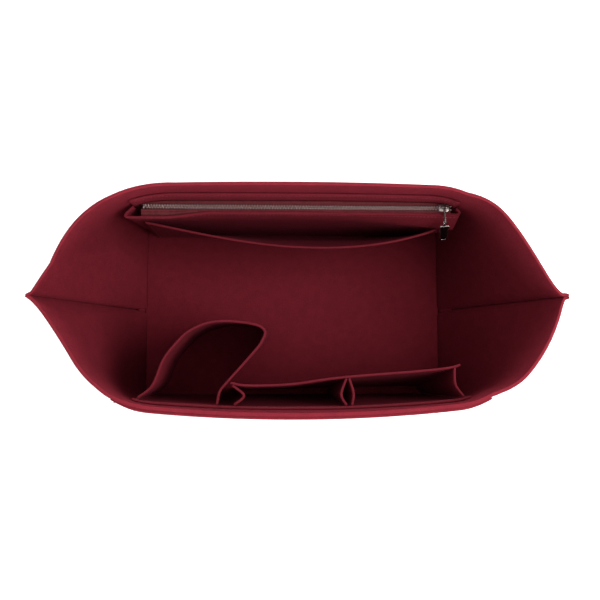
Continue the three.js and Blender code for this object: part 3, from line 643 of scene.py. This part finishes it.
def ring_faces(first, count, rings, closed):
    """The faces of a tube whose rings of count points follow each other, from point number first."""
    faces = []
    for k in range(rings if closed else rings - 1):
        low, high = first + k * count, first + (k + 1) % rings * count
        for i in range(count):
            j = (i + 1) % count
            faces.append([low + i, low + j, high + j, high + i])
    if not closed:
        faces.append([first + i for i in range(count)][::-1])
        faces.append([first + (rings - 1) * count + i for i in range(count)])
    return faces


def loft(rings, closed=False):
    rings = np.array(rings, float)
    return rings.reshape(-1, 3), ring_faces(0, rings.shape[1], len(rings), closed)


def joined(shapes):
    """One shape, as its points and faces, from several."""
    points, faces, first = [], [], 0
    for shape_points, shape_faces in shapes:
        points.append(shape_points)
        faces += [[first + i for i in face] for face in shape_faces]
        first += len(shape_points)
    return np.concatenate(points), faces


def solid(name, shapes, material, node=None, body="tub", place=None, smooth=True):
    """One object from closed shapes, in the seam frame or moved there by a matrix."""
    points, faces = joined(shapes)
    if place is not None:
        points = [tuple(place @ Vector(point)) for point in points]
    mesh = new_mesh(name, points, faces)
    shaped = bmesh.new()
    shaped.from_mesh(mesh)
    bmesh.ops.recalc_face_normals(shaped, faces=shaped.faces)
    shaped.to_mesh(mesh)
    shaped.free()
    return piece(name, mesh, material, node, body, smooth)


def pillow(outline, low, high, edge, axes=(0, 1, 2), crown=0.0):
    """A plate with rounded edges; axes puts the outline's axes and its depth in the order x, y, z."""
    outline = np.array(outline, float)
    middle = (outline.min(0) + outline.max(0)) / 2
    half = (outline.max(0) - outline.min(0)) / 2
    rings = []
    quarter = [(edge * (1 - math.sin(a)), edge * (1 - math.cos(a))) for a in np.radians(EDGE_TURNS)]
    levels = [(inset, low + depth) for inset, depth in quarter]
    levels += [(inset, high - depth) for inset, depth in quarter[::-1]]
    if crown:
        levels += [(half.min() * share, high + crown * lift) for share, lift in CROWN_SHARES]
    for inset, level in levels:
        flat = middle + (outline - middle) * (1 - inset / half)
        rings.append(at_height(flat, level)[:, axes])
    return loft(rings)


def tube(points, radii, across, sides=TUBE_SIDES, closed=False):
    """A round or oval tube along a flat curve; across is the unit vector square to the curve's plane."""
    points = np.array(points, float)
    across = np.array(across, float)
    radii = np.broadcast_to(np.array(radii, float), (len(points), 2))
    if closed:
        along = np.roll(points, -1, 0) - np.roll(points, 1, 0)
    else:
        along = np.gradient(points, axis=0)
    aside = np.cross(unit(along), across)
    turns = np.arange(sides) * 2 * math.pi / sides
    rings = []
    for point, side, (wide, deep) in zip(points, aside, radii):
        rings.append([point + across * wide * math.cos(t) + side * deep * math.sin(t) for t in turns])
    return loft(rings, closed)


def bead(points, radius, across):
    """A tube with round ends."""
    points = np.array(points, float)
    first, last = unit(points[0] - points[1]), unit(points[-1] - points[-2])
    tips = np.radians(BEAD_TURNS)
    before = [points[0] + first * radius * math.sin(t) for t in tips[::-1]]
    after = [points[-1] + last * radius * math.sin(t) for t in tips]
    shares = [*np.cos(tips[::-1]), *[1.0] * len(points), *np.cos(tips)]
    radii = [(radius * share, radius * share) for share in shares]
    return tube([*before, *points, *after], radii, across, BEAD_SIDES)


def arc(middle, radius, start, end, steps, axes):
    turns = np.radians(np.linspace(start, end, steps + 1))
    points = np.tile(np.array(middle, float), (steps + 1, 1))
    points[:, axes[0]] += radius * np.cos(turns)
    points[:, axes[1]] += radius * np.sin(turns)
    return points


# A line for thread is a row of points, each with the normal of its sheet.
def with_normals(rows):
    return np.concatenate([rows, normals_of(rows)], 2)


def level_line(rows, z):
    """The middle of a sheet at one height."""
    columns = with_normals(rows).transpose(1, 0, 2)
    return np.concatenate([values_at([z], column[:, 2], column) for column in columns])


def side_line(rows, inset, from_right=False):
    """The middle of a sheet at one distance from its left or right end."""
    both = with_normals(rows)
    if from_right:
        both = both[:, ::-1]
    return np.concatenate([values_at([inset], distance_along(row), row) for row in both])


def cut_line(line, start, end):
    """A line without its first and last lengths."""
    along = distance_along(line)
    return values_at(np.linspace(start, along[-1] - end, 2 * len(line)), along, line)


def on_face(line, depth):
    """A line moved off the middle of its sheet; a depth below zero is the other face."""
    out = line.copy()
    out[:, :3] += line[:, 3:] * depth
    out[:, 3:] *= np.sign(depth)
    return out


def end_lines(rows, depth, inset=PLY_STITCH_IN, below_top=None):
    """Lines up both ends of a sheet on one face; below_top stops them short of its top."""
    lines = [side_line(rows, inset, from_right) for from_right in (False, True)]
    if below_top:
        lines = [cut_line(line, 0, below_top) for line in lines]
    return [on_face(line, depth) for line in lines]


def stitches(name, lines):
    """Thread along lines on felt: each stitch comes out of the felt and dips back into it."""
    points, faces = [], []
    turns = np.arange(STITCH_SIDES) * 2 * math.pi / STITCH_SIDES
    shares = np.linspace(-0.5, 0.5, len(STITCH_LIFTS))
    for line in lines:
        along = distance_along(line)
        count = int(along[-1] / STITCH_PITCH)
        for k in range(count):
            at = (k + 0.5) * along[-1] / count + shares * STITCH_LENGTH
            place = values_at(at, along, line)
            out = unit(place[:, 3:])
            aside = unit(np.cross(np.gradient(place[:, :3], axis=0), out))
            middle = place[:, :3] + out * np.array(STITCH_LIFTS)[:, None]
            faces += ring_faces(len(points), STITCH_SIDES, len(shares), False)
            for centre, a, o in zip(middle, aside, out):
                points += [centre + (a * math.cos(t) + o * math.sin(t)) * THREAD_RADIUS for t in turns]
    solid(name, [(np.array(points), faces)], THREAD)


# Materials: lengths in a node are in metres, and a scale counts features along a metre.
FELT_SCALES = dict(clouds=120, grain=1100, fibres=1300, waves=13)
FELT_TONE_SHARES = (0.25, 0.35, 0.4)  # of the clouds, the grain and the fibres
FELT_TONE_ENDS = (0.36, 0.72)
FELT_HEIGHTS = (0.00012, 0.00014, 0.0022)  # of the grain, the fibres and the waves
FIBRE_STRETCH = (1.0, 1.0, 0.12)
WEAVE_SCALE = 480
MOTTLE_SCALE = 300
TWIST_SCALE = 2500
WEAR_SCALE = 700
WEAVE_DEPTH = 0.0002
WEAR_DEPTH = 0.0001
PALE_THREAD = 1.5


def add_node(tree, kind, inputs):
    """A node whose inputs are set to a value or linked to another node's output."""
    node = tree.nodes.new("ShaderNode" + kind)
    for key, value in inputs.items():
        if isinstance(value, bpy.types.NodeSocket):
            tree.links.new(value, node.inputs[key])
        else:
            node.inputs[key].default_value = value
    return node


def node_tree(name, settings):
    """A material with its uniform values set on the shader's own sockets."""
    material = bpy.data.materials.new(name)
    material.use_nodes = True
    tree = material.node_tree
    tree.nodes.clear()
    shader = add_node(tree, "BsdfPrincipled", settings)
    add_node(tree, "OutputMaterial", {"Surface": shader.outputs[0]})
    return material, tree, shader


def place_in(tree, coordinates):
    return add_node(tree, "TexCoord", {}).outputs[coordinates]


def noise(tree, vector, scale, detail=3.0, roughness=0.55):
    inputs = {"Vector": vector, "Scale": scale, "Detail": detail, "Roughness": roughness}
    return add_node(tree, "TexNoise", inputs).outputs["Fac"]


def ramp(tree, value, ends, colors):
    node = add_node(tree, "ValToRGB", {"Fac": value})
    for element, position, color in zip(node.color_ramp.elements, ends, colors):
        element.position = position
        element.color = (*color, 1)
    return node.outputs["Color"]


def combined(tree, operation, a, b):
    node = add_node(tree, "Math", {0: a, 1: b})
    node.operation = operation
    return node.outputs[0]


def weighted_sum(tree, values, weights):
    total = None
    for value, weight in zip(values, weights):
        part = combined(tree, "MULTIPLY", value, weight)
        total = part if total is None else combined(tree, "ADD", total, part)
    return total


def bumped(tree, shader, height, strength, distance):
    bump = add_node(tree, "Bump", {"Strength": strength, "Distance": distance, "Height": height})
    tree.links.new(bump.outputs[0], shader.inputs["Normal"])


def felt_material(name, dark, light):
    """Matted fibres: a fine grain, loose fibres three ways, soft clouds and a slightly uneven surface."""
    material, tree, shader = node_tree(name, {
        "Roughness": 0.95, "Specular IOR Level": 0.05,
        "Sheen Weight": 0.03, "Sheen Roughness": 0.5, "Sheen Tint": (0.8, 0.12, 0.2, 1),
    })
    place = place_in(tree, "Object")
    clouds = noise(tree, place, FELT_SCALES["clouds"])
    grain = noise(tree, place, FELT_SCALES["grain"], roughness=0.7)
    waves = noise(tree, place, FELT_SCALES["waves"], detail=1.0)
    fibres = None
    for turn in FIBRE_TURNS:
        lay = add_node(tree, "Mapping", {"Vector": place, "Rotation": turn, "Scale": FIBRE_STRETCH})
        layer = noise(tree, lay.outputs[0], FELT_SCALES["fibres"], detail=1.0, roughness=0.5)
        fibres = layer if fibres is None else combined(tree, "MAXIMUM", fibres, layer)
    tone = weighted_sum(tree, (clouds, grain, fibres), FELT_TONE_SHARES)
    tree.links.new(ramp(tree, tone, FELT_TONE_ENDS, (dark, light)), shader.inputs["Base Color"])
    height = weighted_sum(tree, (grain, fibres, waves), FELT_HEIGHTS)
    bumped(tree, shader, height, strength=1.0, distance=1.0)
    return material


def weave_material(name, dark, light):
    settings = {"Roughness": 0.8, "Specular IOR Level": 0.15, "Sheen Weight": 0.04}
    material, tree, shader = node_tree(name, settings)
    place = place_in(tree, "UV")
    waves = []
    for direction in ("X", "Y"):
        wave = add_node(tree, "TexWave", {"Vector": place, "Scale": WEAVE_SCALE, "Distortion": 0.4})
        wave.bands_direction = direction
        waves.append(wave.outputs["Fac"])
    weave = combined(tree, "MULTIPLY", *waves)
    mottle = noise(tree, place, MOTTLE_SCALE, detail=2.0)
    tone = weighted_sum(tree, (weave, mottle), (0.5, 0.5))
    tree.links.new(ramp(tree, tone, (0.15, 0.6), (dark, light)), shader.inputs["Base Color"])
    bumped(tree, shader, weave, strength=0.5, distance=WEAVE_DEPTH)
    return material


def thread_material(name, color):
    material, tree, shader = node_tree(name, {"Roughness": 0.6})
    twist = noise(tree, place_in(tree, "Object"), TWIST_SCALE, detail=2.0)
    pale = tuple(c * PALE_THREAD for c in color)
    tree.links.new(ramp(tree, twist, (0.35, 0.7), (color, pale)), shader.inputs["Base Color"])
    return material


def metal_material(name, dark, light, rough):
    material, tree, shader = node_tree(name, {"Metallic": 1.0})
    wear = noise(tree, place_in(tree, "Object"), WEAR_SCALE)
    tree.links.new(ramp(tree, wear, (0.35, 0.65), (dark, light)), shader.inputs["Base Color"])
    low, high = rough
    rough_value = combined(tree, "ADD", combined(tree, "MULTIPLY", wear, high - low), low)
    tree.links.new(rough_value, shader.inputs["Roughness"])
    bumped(tree, shader, wear, strength=0.15, distance=WEAR_DEPTH)
    return material


FELT = felt_material("felt", (0.092, 0.0078, 0.013), (0.162, 0.013, 0.0218))
# The cut edges are the same felt painted lighter. This is painted sheen and light from above on the rims,
# not a colour of their own.
FELT_EDGE_SHEEN = felt_material("felt_cut_edge_painted_sheen", (0.15, 0.0125, 0.021), (0.25, 0.0225, 0.0355))
# The pocket plies' edges are the felt painted a little lighter, a weaker painted sheen.
PLY_EDGE_SHEEN = felt_material("felt_ply_edge_painted_sheen", (0.095, 0.009, 0.0145), (0.165, 0.0155, 0.025))
TAPE = weave_material("zip_tape", (0.058, 0.0085, 0.011), (0.155, 0.024, 0.029))
CORD = thread_material("zip_cord", (0.05, 0.012, 0.015))
THREAD = thread_material("thread", (0.10, 0.008, 0.013))
# Dark nickel teeth. Their red cast is painted reflection of the burgundy felt around them.
TOOTH_METAL_PAINTED_REFLECTION = metal_material("zip_metal", (0.34, 0.222, 0.212), (0.54, 0.37, 0.355), (0.3, 0.38))
SLIDER_METAL = metal_material("slider_metal", (0.17, 0.138, 0.13), (0.31, 0.265, 0.25), (0.22, 0.34))
# The link is the pull's metal painted dark. This is painted shade that hides its highlight.
LINK_METAL_PAINTED_SHADE = metal_material("pull_link_metal_painted_shade", (0.09, 0.065, 0.06), (0.17, 0.13, 0.125), (0.2, 0.35))
# Nickel of the tab's frame, neck, bar and bail, painted lighter than the slider's for the highlights on
# them.
PULL_METAL_PAINTED_HIGHLIGHT = metal_material("pull_metal", (0.30, 0.25, 0.24), (0.5, 0.44, 0.42), (0.16, 0.3))
# The tab's plate is painted near black. This is painted shade of its face, which the light only grazes.
PULL_PLATE_PAINTED_SHADE = metal_material("pull_plate_metal_painted_shade", (0.035, 0.028, 0.028), (0.08, 0.07, 0.07), (0.25, 0.4))


def felt(name, node, rows, thickness=POCKET_FELT, edge=PLY_EDGE_SHEEN):
    cloth("felt_" + name, rows, thickness, FELT, node, edge=edge)


SHELL_SHARES = np.concatenate([[0, 0.02, 0.05], np.linspace(0.08, 1, 34)])
SHELL_ROWS = {}
for name, wall in (("back", BACK), ("front", FRONT)):
    SHELL_ROWS[name], thickness = pressed(
        wall.rows(SHELL_SHARES), SHELL_FELT, FIN_TIP_SHARES, FIN_PRESSED, wall.side)
    felt(name + "_panel", name + "_panel", SHELL_ROWS[name], thickness, FELT_EDGE_SHEEN)
OUTER_ROWS, thickness = pressed(
    raised(outer_pocket_line, np.linspace(0, OUTER_TOP, WALL_ROWS)),
    SHELL_FELT, OUTER_TIP_SHARES, (OUTER_PRESSED_WIDTH,) * 2, FRONT.side)
felt("outer_pocket", "outer_pocket_panel", OUTER_ROWS, thickness, FELT_EDGE_SHEEN)
FRONT_BACKING = backing_rows(FRONT, FRONT_BACKING_TOP_IN)
felt("front_backing", "front_pocket_backing", FRONT_BACKING)
BOTTLE = raised(bottle_line, np.linspace(FOOT_Z, BOTTLE_TOP, BOTTLE_GRID[0]))
felt("bottle_pocket", "bottle_pocket_panel", BOTTLE)
SLOT_FACE = raised(lambda z: np.array(on_front_backing(slot_at(z)[3], z)), SLOT_LEVELS)
felt("slot_face", "slot_pocket_face", SLOT_FACE)
for gusset, shape in GUSSETS.items():
    felt(gusset, gusset, gusset_rows(*shape))
ZIP_BACKING = backing_rows(BACK, ZIP_BACKING_TOP_IN)
felt("zip_rear", "zip_pocket_rear_panel", ZIP_BACKING)
below, above = ZIP_FRONT_ROWS
zip_levels = [*np.linspace(FOOT_Z, SLIP_TOP, below), *np.linspace(SLIP_TOP, ZIP_FRONT_TOP, above)[1:]]
ZIP_FRONT = raised(zip_front_plan, zip_levels)
felt("zip_front", "zip_pocket_front_panel", ZIP_FRONT)
SLIP = raised(slip_line, np.linspace(FOOT_Z, SLIP_TOP, SLIP_GRID[0]))
felt("slip_pocket", "slip_pocket_panel", SLIP)


def base_rings():
    """The tray: a plate with its edge turned down inside the walls."""
    def ring(depth, z):
        back, front = BACK.inside(0, depth), FRONT.inside(0, depth)[::-1]
        tip = FLOOR_END_X + FOOT_SEAM_BEND / 2 - depth + SHELL_FELT / 2
        return at_height(np.concatenate([back, [[tip, 0]], front, [[-tip, 0]]]), z)

    edge = SHELL_FELT / 2 + SEAM_GAP
    inner = edge + BASE_FELT
    profile = [(inner, FLOOR_RECESS), (inner, 0.0), (edge, 0.0), (edge, SEAM_BAND - BASE_TURN)]
    for angle in np.radians(BASE_TURN_ANGLES):
        turned, risen = 1 - math.cos(angle), 1 - math.sin(angle)
        profile.append((edge + BASE_TURN * turned, SEAM_BAND - BASE_TURN * risen))
    return [ring(depth, z) for depth, z in profile]


base = solid("felt_base", [loft(base_rings())], FELT, "base_panel", smooth=False)

TAPES = {
    "rear": tape_rows(1, lambda x, z: y_on(BACK.inside(z, FACE_DEPTH), x)),
    "front": tape_rows(-1, lambda x, z: zip_front_line(x, z) + POCKET_FELT / 2),
}
for name, rows in TAPES.items():
    cloth("woven_tape_" + name, rows, TAPE_THICKNESS, TAPE, "zipper_tape_" + name, TAPE_ROUNDING)


def seam_tack(hand):
    """The felt pressed together at the inside foot of a side seam."""
    back_rows, front_rows = SHELL_ROWS["back"], SHELL_ROWS["front"]
    backs = back_rows + normals_of(back_rows) * SHELL_FELT / 2
    fronts = front_rows - normals_of(front_rows) * SHELL_FELT / 2
    rings = []
    for row, *faces in list(zip(back_rows, backs, fronts))[UPRIGHT_ROWS:]:
        level = row[0, 2]
        if level > TACK_LEVELS[1]:
            break
        half_width = np.interp(level, TACK_LEVELS, TACK_HALF_WIDTHS)
        ends = []
        for face in faces:
            face = face[::-hand][: FIRST_END + SHELL_STEPS[2]]
            ends.append(values_at((TACK_ROOT, half_width), np.abs(face[:, 1]), face))
        (back_root, back_lip), (front_root, front_lip) = ends
        root, lip = (back_root + front_root) / 2, (back_lip + front_lip) / 2
        dip = lip + unit(root - lip) * TACK_DIP
        rings.append([back_lip, dip, front_lip, front_root, back_root])
    return loft(rings)


solid("felt_tack_left", [seam_tack(-1)], FELT)
solid("felt_tack_right", [seam_tack(1)], FELT)

# Thread on the felt
half_shell, half_ply = SHELL_FELT / 2, POCKET_FELT / 2
foot_back = level_line(SHELL_ROWS["back"], FOOT_STITCH_Z)
foot_front = level_line(SHELL_ROWS["front"], FOOT_STITCH_Z)
foot_outer = level_line(OUTER_ROWS, FOOT_STITCH_Z)
stitches("thread_foot", [
    on_face(foot_back, -half_shell),
    on_face(foot_front[: OUTER_SPAN.start + 1], half_shell),
    on_face(foot_front[OUTER_SPAN.stop - 1:], half_shell),
    on_face(foot_outer, half_shell),
])
stitches("thread_fins", [
    *end_lines(SHELL_ROWS["back"], -half_shell, FIN_STITCH_IN),
    *end_lines(SHELL_ROWS["front"], half_shell, FIN_STITCH_IN),
])
stitches("thread_outer_pocket", end_lines(OUTER_ROWS, half_shell))
ply_lines = []
for rows, depth in ((FRONT_BACKING, -half_ply), (ZIP_BACKING, half_ply)):
    top = cut_line(level_line(rows, BACKING_TOP - PLY_STITCH_IN), PLY_STITCH_IN, PLY_STITCH_IN)
    ply_lines += [on_face(top, depth), *end_lines(rows, depth, below_top=PLY_STITCH_IN)]
stitches("thread_backings", ply_lines)
zip_line = level_line(ZIP_FRONT, ZIP_FRONT_TOP - ZIP_STITCH_DROP)
stitches("thread_zip", [on_face(cut_line(zip_line, 2 * PLY_STITCH_IN, 2 * PLY_STITCH_IN), half_ply)])
pocket_lines = [*end_lines(BOTTLE, -half_ply), *end_lines(SLIP, half_ply)]
face_length = distance_along(SLOT_FACE[-1])[-1]
for share in GUSSET_STITCH_SHARES:
    pocket_lines.append(on_face(side_line(SLOT_FACE, max(PLY_STITCH_IN, face_length * share)), -half_ply))
stitches("thread_pockets", pocket_lines)

# Zip
chain_place = Matrix.Translation((0, ZIP_Y, ZIP_Z))


def tooth(x, side):
    """A tooth gripping its cord: a low ridge along the top, lower towards both ends."""
    half_width, half_height = TOOTH_WIDTH / 2, TOOTH_HEIGHT / 2
    rings = []
    for y, wide, high in TOOTH_SHAPE:
        rings.append([
            (x + half_width * wide * across, side * y, half_height * high * up)
            for across, up in TOOTH_SECTION_SHARES
        ])
    return loft(rings)


def rounded_outline(corners, radius, steps=CORNER_STEPS):
    """A closed outline with round corners."""
    corners = [np.array(c, float) for c in corners]
    points = []
    for before, corner, after in zip(corners[-1:] + corners[:-1], corners, corners[1:] + corners[:1]):
        start, end = corner + unit(before - corner) * radius, corner + unit(after - corner) * radius
        points.extend(bezier([start, corner, end], steps))
    return points


def block(x, y, z, edge, y_side=1, z_side=1):
    """A block with round edges, on one side or mirrored to the other."""
    y, z = sorted(y_side * end for end in y), sorted(z_side * end for end in z)
    corners = [(x[0], y[0]), (x[1], y[0]), (x[1], y[1]), (x[0], y[1])]
    return pillow(rounded_outline(corners, edge * BLOCK_CORNER_SHARE), z[0], z[1], edge)


def zip_piece(ending, shapes, metal=SLIDER_METAL):
    solid("zip_" + ending, shapes, metal, "zipper_" + ending, place=chain_place)


cord_xs = np.linspace(CHAIN_LEFT, FLOOR_END_X - TAPE_IN[1] - CORD_FAR / 2, CORD_POINTS)
cord_section = (CORD_HEIGHT / 2, (CORD_FAR - CORD_NEAR) / 2)
for name, side in (("rear", 1), ("front", -1)):
    first_x = CHAIN_LEFT + TOOTH_PITCH * TOOTH_ROW_SHARES[name]
    teeth = [tooth(first_x + TOOTH_PITCH * i, side) for i in range(TEETH_PER_ROW)]
    zip_piece("teeth_" + name, teeth, TOOTH_METAL_PAINTED_REFLECTION)
    path = [(x, side * (CORD_NEAR + CORD_FAR) / 2, 0) for x in cord_xs]
    cord = tube(path, cord_section, (0, 0, 1))
    solid("zip_cord_" + name, [cord], CORD, "zipper_teeth_" + name, place=chain_place)
zip_piece("bottom_stop", [block(*BOTTOM_STOP)])
for name, side in (("rear", 1), ("front", -1)):
    zip_piece("top_stop_" + name, [block(*TOP_STOP, side)])

lower_half = [(x, -y) for x, y in PLATE_HALF]
plate_outline = smooth_line([*lower_half, *PLATE_HALF[-2::-1]], PLATE_STEPS)[:-1]
slider_shapes = [
    pillow(plate_outline, PLATE_INNER, PLATE_OUTER, PLATE_EDGE, crown=PLATE_CROWN),
    pillow(plate_outline * [1, UNDER_PLATE_SHARE], -PLATE_OUTER, -PLATE_INNER, PLATE_EDGE),
    block(*SLIDER_POST),
]
slider_shapes += [block(*SLIDER_FLANGE, y_side, z_side) for y_side in (-1, 1) for z_side in (-1, 1)]
rising = [(-x, 0, z) for x, z in BRIDGE_HALF]
falling = [(x, 0, z) for x, z in BRIDGE_HALF[::-1]]
bridge = smooth_line([*rising, (0, 0, BRIDGE_RISE), *falling], BRIDGE_STEPS)
slider_shapes.append(tube(bridge, BRIDGE_SECTION, (0, 1, 0)))
slider_place = Matrix.Translation((SLIDER_X, ZIP_Y, ZIP_Z))
solid("zip_slider", slider_shapes, SLIDER_METAL, "zipper_slider", "slider", slider_place)


# Pull: a wire link, and a tab whose frame holds a dark plate and hangs on a neck and a bail. The dark of the
# link and the plate is painted shade, and the lighter metal of the frame, neck, bar and bail is partly
# painted highlight.
link_place = slider_place @ Matrix.Translation((0, 0, LINK_PIVOT_RISE))
link_path = np.concatenate([
    arc((0, 0, 0), LINK_BEND, -90, 90, LINK_STEPS, (1, 2)),
    arc((0, -LINK_REACH, 0), LINK_BEND, 90, 270, LINK_STEPS, (1, 2)),
])
link_shape = tube(link_path, (LINK_WIRE / 2, LINK_WIRE / 2), (1, 0, 0), closed=True)
solid("pull_ring", [link_shape], LINK_METAL_PAINTED_SHADE, "pull_link", "link", link_place)

lean = Matrix.Rotation(math.radians(TAB_LEAN), 4, "X")
sway = Matrix.Rotation(math.radians(TAB_SWAY), 4, "Y")
tab_hook = Matrix.Translation((0, -LINK_REACH, 0)) @ lean @ Matrix.Translation((0, 0, -LINK_BEND)) @ sway
tab_place = link_place @ tab_hook
tab_end = -TAB_DROP - TAB_LENGTH
half_top, half_end = TAB_TOP_WIDTH / 2, TAB_END_WIDTH / 2
tab_corners = [(-half_top, -TAB_DROP), (-half_end, tab_end), (half_end, tab_end), (half_top, -TAB_DROP)]
plate_corners = np.array(tab_corners) * [TAB_PLATE_SHARE, 1]
plate_line = rounded_outline(plate_corners, TAB_PLATE_CORNER, TAB_CORNER_STEPS)
flat_on = (0, 2, 1)
corner = TAB_END_CORNER - TAB_WIRE
corner_x, corner_z = half_end - TAB_END_CORNER, tab_end + TAB_END_CORNER
frame_top_x, frame_top_z = half_top - TAB_WIRE, -TAB_DROP - FRAME_TOP_DROP
frame_path = np.concatenate([
    [(-frame_top_x, 0, frame_top_z)],
    arc((-corner_x, 0, corner_z), corner, 180, 270, TAB_CORNER_STEPS, (0, 2)),
    arc((corner_x, 0, corner_z), corner, 270, 360, TAB_CORNER_STEPS, (0, 2)),
    [(frame_top_x, 0, frame_top_z)],
])
bar = [(x, 0, -TAB_DROP - BAR_DROP) for x in np.linspace(-BAR_HALF_LENGTH, BAR_HALF_LENGTH, BAR_POINTS)]
bail = arc((0, 0, 0), BAIL_RADIUS, *BAIL_TURNS, BAIL_STEPS, (0, 2))
tab_shapes = [
    tube(bail, (TAB_WIRE, TAB_WIRE), (0, 1, 0), closed=True),
    pillow(rounded_outline(NECK_CORNERS, NECK_CORNER), *NECK_Y, NECK_EDGE, flat_on),
    bead(frame_path, TAB_WIRE, (0, 1, 0)),
    bead(bar, BAR_RADIUS, (0, 1, 0)),
]
solid("pull_tab_frame", tab_shapes, PULL_METAL_PAINTED_HIGHLIGHT, "pull_tab", "tab", tab_place)
tab_plate = pillow(plate_line, *TAB_PLATE_Y, TAB_PLATE_EDGE, flat_on)
solid("pull_tab_plate", [tab_plate], PULL_PLATE_PAINTED_SHADE, "pull_tab", "tab", tab_place)


# Camera, floor and light: the lengths here are in metres
FLOOR_HALF = 30.0
FLOOR_BELOW = 0.0005
FLOOR_LOOK = {
    "Base Color": (0.94, 0.94, 0.94, 1), "Roughness": 0.9,
    "Emission Color": (1, 1, 1, 1), "Emission Strength": 0.45,
}
LIGHT_SIZE = 1.15
LIGHT_TARGET = (0.0, 0.0, 0.1)
KEY_PLACE = (1.12, -0.13, 1.40)
KEY_POWER = 27
CEILING_PLACE = (0.0, 0.0, 1.8)
CEILING_POWER = 5
STUDIO_STRENGTH = 6.2
STUDIO_UPPER_SHARE = 0.07
STUDIO_END_SHARE = 0.19
STUDIO_PANEL_ENDS = (0.35, 0.8)
STUDIO_BAND = (14, 21)  # degrees up where the panels begin and end to fade
WHITE = (1, 1, 1)
BLACK = (0, 0, 0)


def camera():
    forward = Vector(CAMERA_FORWARD).normalized()
    up = Vector((0, 1, 0))
    up = (up - forward * up.dot(forward)).normalized()
    right = forward.cross(up)
    c, s = math.cos(CAMERA_ROLL), math.sin(CAMERA_ROLL)
    right, up = right * c + up * s, up * c - right * s
    data = bpy.data.cameras.new("camera")
    data.lens = CAMERA_LENS
    data.sensor_width = CAMERA_SENSOR
    obj = in_scene("camera", data)
    turn = Matrix((right, up, -forward)).transposed().to_4x4()
    place = (Vector(CAMERA_PLACE) + Vector((0, SEAM_Y, 0))) * MM
    obj.matrix_world = Matrix.Translation(place) @ turn
    bpy.context.scene.camera = obj


def floor():
    mesh = bpy.data.meshes.new("floor")
    corners = [(x * FLOOR_HALF, y * FLOOR_HALF, 0) for x, y in ((-1, -1), (1, -1), (1, 1), (-1, 1))]
    mesh.from_pydata(corners, [], [(0, 1, 2, 3)])
    obj = in_scene("floor", mesh)
    obj.location.z = -FLOOR_BELOW
    mesh.materials.append(node_tree("floor", FLOOR_LOOK)[0])


def area_light(name, place, power):
    data = bpy.data.lights.new(name, "AREA")
    data.shape = "DISK"
    data.size = LIGHT_SIZE
    data.energy = power
    obj = in_scene(name, data)
    obj.location = place
    obj.rotation_mode = "QUATERNION"
    obj.rotation_quaternion = (Vector(LIGHT_TARGET) - Vector(place)).to_track_quat("-Z", "Y")


def world():
    """A studio whose low white panels, most of them in front and behind, are brighter than its ceiling."""
    scene = bpy.context.scene
    scene.world = bpy.data.worlds.new("studio")
    scene.world.use_nodes = True
    tree = scene.world.node_tree
    background = tree.nodes["Background"]
    background.inputs["Strength"].default_value = STUDIO_STRENGTH
    parts = add_node(tree, "SeparateXYZ", {0: place_in(tree, "Generated")})
    side = combined(tree, "ABSOLUTE", parts.outputs["Y"], 0)
    panels = ramp(tree, side, STUDIO_PANEL_ENDS, ((STUDIO_END_SHARE,) * 3, WHITE))
    band_ends = [math.sin(math.radians(angle)) for angle in STUDIO_BAND]
    low_band = ramp(tree, parts.outputs["Z"], band_ends, (WHITE, BLACK))
    glow = combined(tree, "ADD", combined(tree, "MULTIPLY", panels, low_band), STUDIO_UPPER_SHARE)
    tree.links.new(glow, background.inputs["Color"])


camera()
floor()
world()
area_light("key", KEY_PLACE, KEY_POWER)
area_light("ceiling", CEILING_PLACE, CEILING_POWER)
bpy.context.scene.view_settings.view_transform = "Standard"
